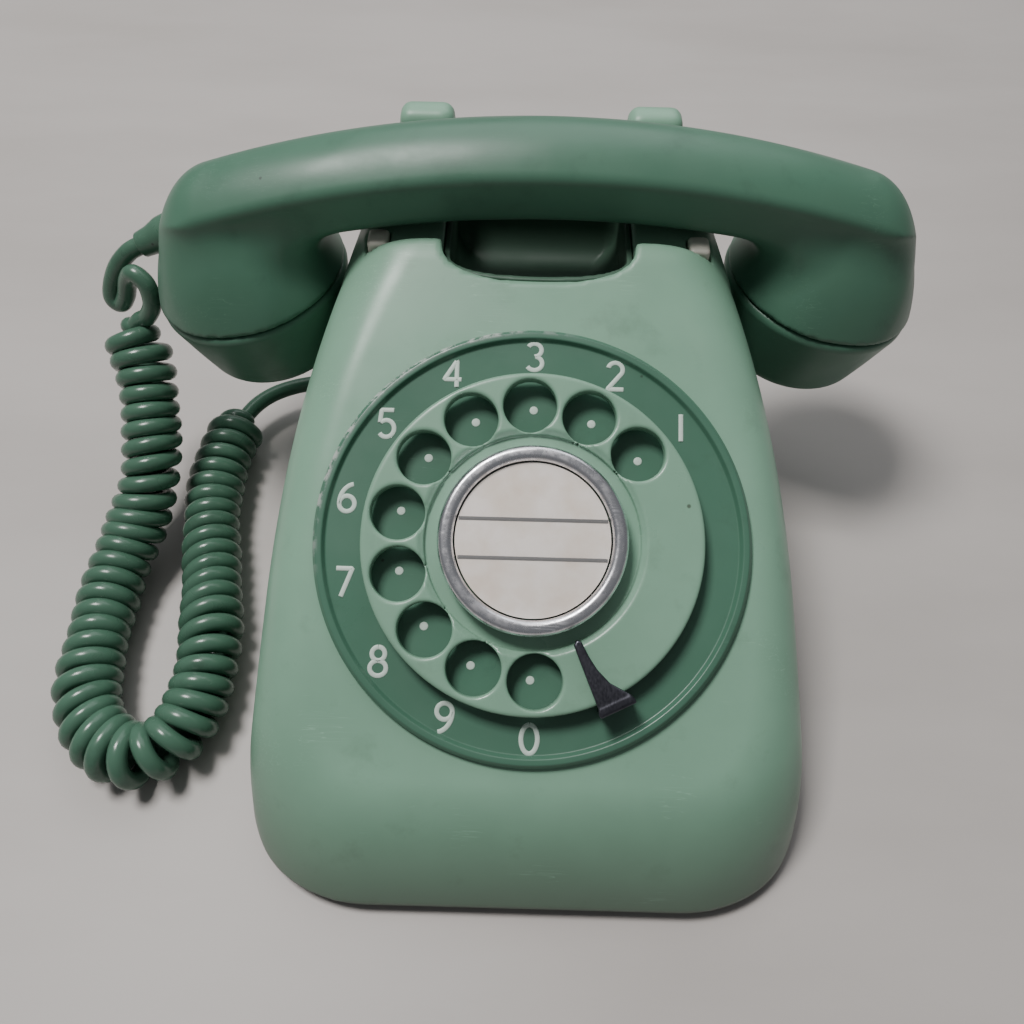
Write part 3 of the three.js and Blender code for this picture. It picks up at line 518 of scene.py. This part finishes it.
def mix(tree, amount, a, b):
    """Colour a turning to b. Inputs 0, 6 and 7 and output 2 are the node's colour sockets."""
    made = node(tree, "ShaderNodeMix", {"data_type": "RGBA"})
    for socket, value in ((made.inputs[0], amount), (made.inputs[6], a), (made.inputs[7], b)):
        if isinstance(value, bpy.types.NodeSocket):
            tree.links.new(value, socket)
        else:
            socket.default_value = (*value, 1) if isinstance(value, tuple) else value
    return made.outputs[2]


def bump(tree, shader, height, strength, distance):
    made = node(tree, "ShaderNodeBump", Height=height, Strength=strength, Distance=distance)
    tree.links.new(made.outputs["Normal"], shader.inputs["Normal"])


def specks(tree, where, scale, size, share):
    """1 inside small round specks: about one cell in 1/share has one."""
    cells = node(tree, "ShaderNodeTexVoronoi", Vector=where, Scale=scale)
    chosen = node(tree, "ShaderNodeSeparateColor", Color=cells.outputs["Color"]).outputs["Red"]
    near = remap(tree, cells.outputs["Distance"], size, size * 0.6)
    rare = remap(tree, chosen, share, share * 0.98)
    return arithmetic(tree, "MULTIPLY", near, rare)


def scratches(tree, scale, width):
    """Thin broken lines that run along X."""
    where = place_on(tree, (scale * 0.04, scale, scale))
    line = noise(tree, where, 1.0, 2.0, 0.4)
    away = arithmetic(tree, "ABSOLUTE", arithmetic(tree, "SUBTRACT", line, 0.5))
    thin = remap(tree, away, width, 0.0)
    patches = remap(tree, noise(tree, place_on(tree), 45.0, 3.0), 0.56, 0.66)
    return arithmetic(tree, "MULTIPLY", thin, patches)


def plastic(name, color, dirt_and_shade, roughness, soil, foot_shade=0.0):
    """Old glossy moulded plastic: cloudy colour, grime, a few dark specks, fine scuffs and a painted shade
    near the floor.

    The last argument sets how far it is darkened towards the table: painted shade at the foot."""
    made, tree, shader = material(name, color, roughness)
    where = place_on(tree)
    cloud = remap(tree, noise(tree, where, 22.0, 5.0), 0.35, 0.7)
    dark = tuple(c * 0.86 for c in color)
    tone = mix(tree, cloud, color, dark)
    grime = remap(tree, noise(tree, where, 70.0, 6.0, 0.65), 0.58, 0.8, 0.0, soil)
    tone = mix(tree, grime, tone, dirt_and_shade)
    spots = specks(tree, where, 75.0, 0.05, 0.22)
    tone = mix(tree, arithmetic(tree, "MULTIPLY", spots, 0.8), tone, dirt_and_shade)
    # Painted shade: the colour darkens towards the table and stands in for the shade at the foot.
    height = node(tree, "ShaderNodeSeparateXYZ", Vector=where).outputs["Z"]
    tone = mix(tree, remap(tree, height, 0.036, 0.003, 0.0, foot_shade), tone, dirt_and_shade)
    scuff = scratches(tree, 900.0, 0.012)
    light = tuple(min(1.0, c * 1.5 + 0.05) for c in color)
    tone = mix(tree, arithmetic(tree, "MULTIPLY", scuff, 0.35), tone, light)
    tree.links.new(tone, shader.inputs["Base Color"])
    worn = remap(tree, noise(tree, where, 40.0, 4.0), 0.3, 0.75, roughness * 0.8, roughness * 1.35)
    tree.links.new(worn, shader.inputs["Roughness"])
    fine = noise(tree, where, 1400.0, 2.0)
    bump(tree, shader, fine, 0.05, 0.0001)
    return made


def wear_plate_rim(look):
    """Pale chips along the upper left of the number plate's raised rim."""
    tree = look.node_tree
    shader = tree.nodes["Principled BSDF"]
    under = shader.inputs["Base Color"].links[0].from_socket
    point = node(tree, "ShaderNodeTexCoord").outputs["Object"]
    to_dial = node(tree, "ShaderNodeMapping", {"vector_type": "TEXTURE"}, Vector=point)
    to_dial.inputs["Location"].default_value = (0, DIAL_Y * MM, DIAL_Z * MM)
    to_dial.inputs["Rotation"].default_value = (DIAL_SLOPE, 0, 0)
    parts = node(tree, "ShaderNodeSeparateXYZ", Vector=to_dial.outputs["Vector"]).outputs
    flat = node(tree, "ShaderNodeCombineXYZ", X=parts["X"], Y=parts["Y"]).outputs["Vector"]
    across = node(tree, "ShaderNodeVectorMath", {"operation": "LENGTH"}, i0=flat).outputs["Value"]
    rim = remap(tree, across, 0.0572, 0.0581)
    toward = arithmetic(tree, "SUBTRACT", parts["Y"], parts["X"])
    corner = remap(tree, toward, 0.045, 0.072)
    patches = remap(tree, noise(tree, place_on(tree), 230.0, 6.0, 0.7), 0.48, 0.58)
    amount = arithmetic(tree, "MULTIPLY", arithmetic(tree, "MULTIPLY", rim, corner), patches)
    tree.links.new(mix(tree, amount, under, (0.42, 0.46, 0.43)), shader.inputs["Base Color"])


def metal(name, color, roughness, brushed_axis=0):
    """Plated or bare metal with a faint grain and tarnish."""
    made, tree, shader = material(name, color, roughness, 1.0)
    where = place_on(tree)
    tarnish = remap(tree, noise(tree, where, 90.0, 5.0), 0.4, 0.75)
    tree.links.new(mix(tree, tarnish, color, tuple(c * 0.7 for c in color)), shader.inputs["Base Color"])
    stretch = [2500.0, 2500.0, 2500.0]
    stretch[brushed_axis] = 80.0
    grain = noise(tree, place_on(tree, tuple(stretch)), 1.0, 3.0)
    tree.links.new(remap(tree, grain, 0.3, 0.7, roughness * 0.8, roughness * 1.3), shader.inputs["Roughness"])
    bump(tree, shader, grain, 0.08, 0.0001)
    return made


def chrome(name):
    """Bright plating with the fine scratches and dull spots of long use."""
    bright, dull = (0.86, 0.86, 0.90), (0.50, 0.49, 0.51)
    made, tree, shader = material(name, bright, 0.2, 1.0)
    where = place_on(tree)
    wear = remap(tree, noise(tree, where, 260.0, 6.0, 0.7), 0.45, 0.75)
    tree.links.new(mix(tree, wear, bright, dull), shader.inputs["Base Color"])
    lines = arithmetic(tree, "ADD", scratches(tree, 1500.0, 0.03), wear)
    tree.links.new(remap(tree, lines, 0.0, 1.4, 0.24, 0.55), shader.inputs["Roughness"])
    bump(tree, shader, lines, 0.15, 0.0001)
    return made


def paper(name):
    """The number card: aged paper with blotches."""
    made, tree, shader = material(name, (0.66, 0.58, 0.51), 0.85)
    where = place_on(tree)
    blotch = remap(tree, noise(tree, where, 75.0, 6.0, 0.6), 0.42, 0.7)
    tone = mix(tree, blotch, (0.90, 0.83, 0.78), (0.74, 0.62, 0.52))
    stain = remap(tree, noise(tree, place_on(tree, (1.3, 0.8, 1)), 38.0, 3.0), 0.6, 0.72, 0.0, 0.45)
    tone = mix(tree, stain, tone, (0.62, 0.47, 0.34))
    tree.links.new(tone, shader.inputs["Base Color"])
    bump(tree, shader, noise(tree, where, 1800.0, 3.0), 0.2, 0.0001)
    return made


def clear_plastic(name):
    made, tree, shader = material(name, (0.95, 0.95, 0.92), 0.08, alpha=0.08)
    smear = remap(tree, noise(tree, place_on(tree), 120.0, 5.0), 0.4, 0.75, 0.06, 0.3)
    tree.links.new(smear, shader.inputs["Roughness"])
    return made


LIGHT = (0.225, 0.415, 0.295)
DARK = (0.075, 0.180, 0.120)
# The housing's last number is its painted shade at the foot, darker towards the table.
housing_look = plastic("housing_plastic", LIGHT, (0.06, 0.07, 0.05), 0.34, 0.24, 0.7)
# The well tray's light green, painted far darker: painted shade for the deep finger well.
well_shaded_look = plastic("well_shaded_plastic", (0.062, 0.125, 0.085), (0.03, 0.035, 0.03), 0.5, 0.4)
wheel_look = plastic("wheel_plastic", (0.220, 0.400, 0.285), (0.07, 0.08, 0.06), 0.3, 0.25)
plate_look = plastic("plate_plastic", (0.070, 0.170, 0.115), (0.02, 0.03, 0.02), 0.32, 0.25)
wear_plate_rim(plate_look)
handset_look = plastic("handset_plastic", DARK, (0.02, 0.04, 0.03), 0.4, 0.3)
cord_look = plastic("cord_vinyl", (0.070, 0.155, 0.105), (0.015, 0.02, 0.015), 0.24, 0.4)
digit_look = plastic("digit_paint", (0.62, 0.74, 0.66), (0.35, 0.42, 0.36), 0.5, 0.3)
black_look = plastic("black_plastic", (0.012, 0.016, 0.014), (0.05, 0.05, 0.045), 0.5, 0.4)
cream_look = plastic("cream_plastic", (0.66, 0.64, 0.56), (0.25, 0.2, 0.12), 0.4, 0.3)
phenolic_look = plastic("brown_phenolic", (0.13, 0.055, 0.025), (0.05, 0.02, 0.01), 0.5, 0.3)
winding_look = plastic("enamelled_winding", (0.33, 0.12, 0.05), (0.1, 0.04, 0.02), 0.35, 0.3)
rubber_look = plastic("foot_rubber", (0.018, 0.018, 0.018), (0.08, 0.07, 0.06), 0.8, 0.5)
ink_look = plastic("printed_ink", (0.035, 0.033, 0.04), (0.12, 0.10, 0.09), 0.7, 0.3)
steel_look = metal("zinc_steel", (0.46, 0.46, 0.45), 0.38)
brass_look = metal("brass", (0.62, 0.43, 0.17), 0.3, 1)
stop_look = metal("dark_steel", (0.13, 0.13, 0.155), 0.34, 1)
ring_look = chrome("chrome_ring")
card_look = paper("paper_card")
window_look = clear_plastic("clear_window")

# ---------------------------------------------------------------- cord
HANDSET_GLAND = ((-110, 69.4, 90.1), (-125.3, 66, 84.4))
BASE_GLAND = ((-54, 83, 13.2), (-74, 78.4, 12.8))
FLOOR_COIL = COIL / 2 + 0.6
# Below the gland the wire makes one open hook before the coil begins.
HANDSET_LEAD = [
    (-125.6, 65.9, 84.3), (-130, 65, 82), (-134.9, 64, 77.1), (-138.5, 62.8, 71), (-139.6, 61.6, 66.4),
    (-137.2, 60.6, 64.8), (-134, 60.2, 68.6), (-130.6, 59.6, 76), (-127, 58, 79.6), (-123.4, 56, 77),
    (-123.4, 54.6, 70.6), (-126.4, 54.4, 65.4), (-130.4, 55, 62.4),
]
COIL_PATH = [
    (-133.9, 54.6, 58), (-132.6, 51.6, 53.8), (-130.4, 43.6, 45.5), (-129.2, 31.4, 35), (-129.4, 18.4, 25.6),
    (-133, 5, 17.2), (-136.6, -9.4, 12.4), (-137.4, -25.4, FLOOR_COIL), (-136.4, -39.8, FLOOR_COIL),
    (-134.6, -53.4, FLOOR_COIL), (-128.2, -65.6, FLOOR_COIL), (-116.4, -72.6, FLOOR_COIL),
    (-106.2, -68.6, FLOOR_COIL), (-100.8, -56.8, FLOOR_COIL), (-100.4, -38.6, FLOOR_COIL),
    (-104.4, -17, FLOOR_COIL), (-109.8, 6.6, FLOOR_COIL), (-112.6, 24, FLOOR_COIL),
    (-112.4, 42.4, FLOOR_COIL), (-109.4, 55.6, 11.2),
]
BASE_LEAD = [
    (-109, 57.2, 11.4), (-105.6, 63.6, 12), (-100, 69.6, 12.3), (-92.3, 73.8, 12.5), (-83, 76.3, 12.7),
    (-74.3, 78.3, 12.8),
]
CORD_SIDES = 14
POINTS_A_TURN = 28


def smooth_path(points, step):
    """Points a fixed step apart along a smooth curve through the given ones."""
    points = np.array(points, float)
    ends = np.vstack([2 * points[0] - points[1], points, 2 * points[-1] - points[-2]])
    fine = []
    for k in range(1, len(ends) - 2):
        a, b, c, d = ends[k - 1 : k + 3]
        for t in np.linspace(0, 1, 40, endpoint=False):
            fine.append(0.5 * (2 * b + (c - a) * t + (2 * a - 5 * b + 4 * c - d) * t**2
                               + (3 * b - a - 3 * c + d) * t**3))
    fine.append(points[-1])
    fine = np.array(fine)
    along = np.concatenate([[0], np.cumsum(np.linalg.norm(np.diff(fine, axis=0), axis=1))])
    count = max(2, int(round(along[-1] / step)) + 1)
    at = np.linspace(0, along[-1], count)
    return np.stack([np.interp(at, along, fine[:, k]) for k in range(3)], 1)


def carried_frames(points):
    """Unit tangents and two cross directions that turn as little as possible along a path."""
    tangent = np.gradient(points, axis=0)
    tangent /= np.linalg.norm(tangent, axis=1)[:, None]
    side = np.cross(tangent[0], [0, 0, 1.0])
    sides = []
    for t in tangent:
        side = side - t * (side @ t)
        side /= np.linalg.norm(side)
        sides.append(side)
    sides = np.array(sides)
    return tangent, sides, np.cross(tangent, sides)


def tube_shape(points, radius, sides):
    """The vertices and faces of a closed round tube whose rings are centred on the points."""
    _, a, b = carried_frames(points)
    angles = np.arange(sides) * 2 * math.pi / sides
    ring = a[:, None] * np.cos(angles)[None, :, None] + b[:, None] * np.sin(angles)[None, :, None]
    vertices = (points[:, None] + ring * radius).reshape(-1, 3)
    faces = []
    for k in range(len(points) - 1):
        for i in range(sides):
            j = (i + 1) % sides
            faces.append([k * sides + i, k * sides + j, (k + 1) * sides + j, (k + 1) * sides + i])
    last = (len(points) - 1) * sides
    faces.append(list(range(sides))[::-1])
    faces.append([last + i for i in range(sides)])
    return vertices, faces


def cord_centreline():
    """The whole cord's middle line: a helix round its route that fades out into the two leads."""
    upper, lower = ([np.array(p, float) for p in gland] for gland in (HANDSET_GLAND, BASE_GLAND))
    route = [(upper[0] + upper[1]) / 2, *HANDSET_LEAD, *COIL_PATH, *BASE_LEAD[1:], (lower[0] + lower[1]) / 2]
    axis = smooth_path(route, COIL_PITCH / POINTS_A_TURN)
    first, last = (int(np.argmin(((axis - np.array(p)) ** 2).sum(1))) for p in (COIL_PATH[0], COIL_PATH[-1]))
    along, a, b = carried_frames(axis)
    index = np.arange(len(axis))
    turn = index * 2 * math.pi / POINTS_A_TURN
    turn = turn + 0.5 * np.sin(turn / 6.3) + 0.4 * np.sin(turn / 17.1 + 1)
    ramp = np.clip(np.minimum(index - first, last - index) / POINTS_A_TURN + 0.5, 0, 1)
    uneven = 1 + 0.035 * np.sin(turn / 4.7) + 0.03 * np.sin(turn / 11.3)
    radius = (COIL - WIRE) / 2 * ramp**2 * (3 - 2 * ramp) * uneven
    lean = 0.17 * radius * np.sin(turn / 13.7 + 0.6)
    around = a * np.cos(turn)[:, None] + b * np.sin(turn)[:, None]
    return axis + radius[:, None] * around + (lean * np.cos(turn - 0.8))[:, None] * along


def make_cord():
    """The wound wire, evened a little along its length, and the sleeve that it leaves at each end."""
    line = cord_centreline()
    for _ in range(2):
        line[1:-1] = line[1:-1] * 0.6 + (line[:-2] + line[2:]) * 0.2
    cord = make_mesh("handset_cord", *tube_shape(line, WIRE / 2, CORD_SIDES))
    cord.data.materials.append(cord_look)
    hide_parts("handset_lead", "curly_cord", "base_lead")
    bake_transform(cord)
    for name, body, (root, tip), radii in (
        ("handset_gland_sleeve", "handset", HANDSET_GLAND, (6, 4.5)),
        ("base_gland_sleeve", "base", BASE_GLAND, (5, 4.4)),
    ):
        root, tip = np.array(root, float), np.array(tip, float)
        length = np.linalg.norm(tip - root)
        bore = WIRE / 2 + 0.15
        outline = [
            (bore, 0), (radii[0], 0), (radii[0] - 0.3, length * 0.5), (radii[1], length * 0.75),
            (radii[1] - 0.5, length), (bore, length),
        ]
        sleeve = lathe(name, soften(outline, 0.9), 48)
        spin = Vector((0, 0, 1)).rotation_difference(Vector(tip - root)).to_matrix().to_4x4()
        place(sleeve, Matrix.Translation(Vector(root) * MM) @ spin)
        finish_piece(sleeve, body, cord_look, "green_cord", name.removesuffix("_sleeve"))
    length = np.linalg.norm(np.diff(line, axis=0), axis=1).sum() * MM


make_cord()

# ---------------------------------------------------------------- housing
housing = net("housing", shell_field, (-84, -115, 1), (84, 115, 123), 1.15)
finish_piece(housing, "base", housing_look, "light_green_plastic", "body_shell")

tray = net("finger_well_tray", tray_field, (-29, 34, 72), (29, 84, 102), 0.7)
# The tray keeps its light green slot but is drawn in the well look, with painted shade.
finish_piece(tray, "base", well_shaded_look, "light_green_plastic", "grip_well_tray")

# ---------------------------------------------------------------- handset
ON_HANDSET = Matrix.Translation((0, HANDSET["y"] * MM, 0)) @ Matrix.Rotation(HANDSET["turn"], 4, "Z")
handset = net("handset", handset_field, (-126, -34, 70), (126, 34, 132), 0.95)
finish_piece(place(handset, ON_HANDSET), "handset", handset_look, "dark_green_plastic", "handset_body")


def make_caps():
    h = HANDSET
    r, d = h["head_radius"], h["cap_depth"]
    outline = [
        (0, -d), (14, -d + 0.3), (20.6, -d + 1.6), (24.6, -d + 5.4), (r - 3.2, -14), (r - 0.2, -2),
        (r - 0.9, -0.2), (r - 3, -0.2), (r - 5.6, -14), (22.2, -d + 6.6), (19, -d + 4), (0, -d + 2.6),
    ]
    for name, side in (("mouth_cap", -1), ("ear_cap", 1)):
        cap = lathe(name + "_shell", soften(outline, 2.4, 6), 112)
        on_head = Matrix.Translation((side * h["head_x"] * MM, 0, h["head_z"] * MM))
        place(cap, ON_HANDSET @ on_head @ Matrix.Rotation(side * h["tilt"], 4, "Y"))
        finish_piece(cap, "handset", handset_look, "dark_green_plastic", name)


make_caps()


# ---------------------------------------------------------------- dial
def arc(cx, cy, rx, ry, start, end, steps=18):
    """Points on an ellipse from one angle to another, in degrees."""
    angles = np.linspace(start * DEG, end * DEG, steps)
    return [(cx + rx * math.cos(t), cy + ry * math.sin(t)) for t in angles]


def digit_strokes(digit):
    """The strokes of a digit, 8 mm tall about its own middle."""
    curl = arc(2.4, -1.6, 4.6, 5.6, 98, 180)
    six = [curl + arc(0, -1.75, 2.2, 2.25, 180, 540, 26)[1:]]
    return {
        0: [arc(0, 0, 2.3, 3.95, 90, 450, 30)],
        1: [[(0, 4), (0, -4)]],
        2: [arc(0, 1.9, 2.15, 2.1, 165, -35) + [(-2.3, -4), (2.4, -4)]],
        3: [arc(0, 2.05, 2.05, 1.95, 150, -90) + arc(0, -1.95, 2.3, 2.05, 90, -150)],
        4: [[(1.1, -4), (1.1, 4), (-2.5, -1.7), (2.5, -1.7)]],
        5: [[(2.1, 4), (-1.5, 4), (-1.9, 0.2)] + arc(0, -1.5, 2.3, 2.5, 125, -145)],
        6: six,
        7: [[(-2.3, 4), (2.3, 4), (-0.7, -4)]],
        8: [arc(0, 2.1, 1.85, 1.9, 90, 450, 26), arc(0, -1.9, 2.3, 2.1, 90, 450, 26)],
        9: [[(-x, -y) for x, y in six[0]]],
    }[digit]


def flat_stroke(points, radius, z):
    """A thin raised line along points on a flat face at height z."""
    points = np.array(points, float)
    along = np.concatenate([[0], np.cumsum(np.hypot(*np.diff(points, axis=0).T))])
    at = np.linspace(0, along[-1], int(along[-1] / 0.3) + 2)
    line = np.stack([np.interp(at, along, points[:, 0]), np.interp(at, along, points[:, 1]), 0 * at], 1)
    vertices, faces = tube_shape(line, radius, 10)
    return vertices * (1, 1, 0.3) + (0, 0, z), faces


def make_dial_marks(on_dial):
    strokes, dots = [], []
    dot = [(0, -0.1), (1.15, -0.1), (1.15, 0.04), (0.9, 0.12), (0, 0.14)]
    for i in range(10):
        angle = FIRST_HOLE + i * HOLE_PITCH + PLATE_TURN
        middle = DIGIT_CIRCLE * np.array((math.cos(angle), math.sin(angle)))
        for stroke in digit_strokes((i + 1) % 10):
            points = np.array(stroke) * DIGIT_SCALE + middle
            strokes.append(flat_stroke(points, DIGIT_STROKE, PLATE_TOP))
        points, faces = lathe_shape(dot, 24)
        at = (HOLE_CIRCLE * math.cos(angle), HOLE_CIRCLE * math.sin(angle), PLATE_TOP)
        dots.append((np.array(points) + at, faces))
    for name, shapes in (("dial_digits", strokes), ("dial_dots", dots)):
        made = place(make_mesh(name, *joined(shapes)), on_dial)
        finish_piece(made, "base", digit_look, "light_green_plastic")
    lines = []
    for y in (-4.9, 5.2):
        ends = [(-CARD_LINE_HALF, y), (CARD_LINE_HALF, y)]
        lines.append(flat_stroke(ends, CARD_LINE_STROKE, CARD_TOP + 0.05))
    made = place(make_mesh("card_lines", *joined(lines)), on_dial)
    finish_piece(made, "finger_dial", ink_look, "black_plastic")


def make_dial():
    on_dial = dial_frame_matrix()
    plate = [
        (6.5, -4), (51.4, -4), (51.4, -1.7), (58.6, -1.7), (PLATE_RADIUS, -0.6), (58, 0.6), (56.4, 0.6),
        (55.6, PLATE_TOP), (6.5, PLATE_TOP),
    ]
    made = place(lathe("number_plate_disc", soften(plate, 0.35), 160), on_dial)
    finish_piece(made, "base", plate_look, "dark_green_plastic", "number_plate")
    wheel = net("finger_wheel_disc", wheel_field, (-47, -47, 0.2), (47, 47, 9), 0.55, 3)
    finish_piece(place(wheel, on_dial), "finger_dial", wheel_look, "light_green_plastic", "finger_wheel")
    ring = [(20.6, 3.6), (24.8, 3.6), (24.8, 9), (23.9, 10.4), (21.6, 10.4), (20.6, 9.5)]
    made = place(lathe("card_ring_band", soften(ring, 0.8), 128), on_dial)
    finish_piece(made, "finger_dial", ring_look, "chrome_ring", "card_ring")
    card = [(0, 8.1), (CARD_RADIUS, 8.1), (CARD_RADIUS, CARD_TOP), (0, CARD_TOP)]
    made = place(lathe("card_disc", soften(card, 0.1), 96), on_dial)
    finish_piece(made, "finger_dial", card_look, "paper_card", "number_card")
    window = [(0, 8.8), (CARD_RADIUS, 8.8), (CARD_RADIUS, 9.2), (12, 9.45), (0, 9.5)]
    made = place(lathe("window_disc", soften(window, 0.2), 96), on_dial)
    finish_piece(made, "finger_dial", window_look, "clear_window", "card_window")
    stop = net("finger_stop_blade", stop_field, (9, -47, -1.6), (29, -23, 9.4), 0.3, 3)
    finish_piece(place(stop, on_dial), "base", stop_look, "dark_steel", "finger_stop")
    make_dial_marks(on_dial)


make_dial()

# ---------------------------------------------------------------- hook plungers
for side, body in ((-1, "left_plunger"), (1, "right_plunger")):
    plunger = net(body + "_bar", plunger_field, (-4, -4.6, -9), (4, 4.6, 9), 0.4, 3)
    place(plunger, Matrix.Translation(Vector((side * PLUNGER[0], *PLUNGER[1:])) * MM))
    finish_piece(plunger, body, cream_look, "cream_plastic", "hook_plunger_" + body.removesuffix("_plunger"))


# ---------------------------------------------------------------- floor and light
def make_stage():
    corners = [(x * FLOOR_HALF, y * FLOOR_HALF, 0) for x, y in ((-1, -1), (1, -1), (1, 1), (-1, 1))]
    floor = make_mesh("floor", corners, [[0, 1, 2, 3]])
    look, tree, shader = material("floor_look", (0.46, 0.43, 0.42), 0.5)
    vein = remap(tree, noise(tree, place_on(tree, (1, 3, 1)), 5.0, 6.0), 0.4, 0.7)
    tree.links.new(mix(tree, vein, (0.47, 0.44, 0.42), (0.42, 0.39, 0.37)), shader.inputs["Base Color"])
    floor.data.materials.append(look)
    world = bpy.data.worlds.new("studio")
    bpy.context.scene.world = world
    world.use_nodes = True
    world.node_tree.nodes["Background"].inputs["Color"].default_value = (0.93, 0.96, 1.0, 1)
    world.node_tree.nodes["Background"].inputs["Strength"].default_value = 0.15
    for name, at, size, power, color in (
        ("main_light", (-0.54, 0.2, 1.6), 0.46, 28, (1.0, 0.98, 0.96)),
        ("soft_light", (0.1, 0.9, 1.1), 1.2, 7, (0.96, 0.98, 1.0)),
    ):
        data = bpy.data.lights.new(name, "AREA")
        data.energy, data.size, data.color = power, size, color
        lamp = bpy.data.objects.new(name, data)
        lamp.location = at
        lamp.rotation_mode = "QUATERNION"
        lamp.rotation_quaternion = (Vector((0, 0, 0.05)) - Vector(at)).to_track_quat("-Z", "Y")
        bpy.context.collection.objects.link(lamp)


make_stage()

# ---------------------------------------------------------------- CAD pieces that keep their shape
CAD_LOOKS = {
    "light_green_plastic": housing_look,
    "dark_green_plastic": handset_look,
    "green_cord": cord_look,
    "black_plastic": black_look,
    "cream_plastic": cream_look,
    "paper_card": card_look,
    "clear_window": window_look,
    "chrome_ring": ring_look,
    "dark_steel": stop_look,
    "zinc_steel": steel_look,
    "brass": brass_look,
    "brown_phenolic": phenolic_look,
    "enamelled_winding": winding_look,
    "foot_rubber": rubber_look,
}
for part in frame["record"]["subparts"]:
    data = frame["nodes"][part["node"]].data
    data.materials.clear()
    data.materials.append(CAD_LOOKS[part["material_slot"]])
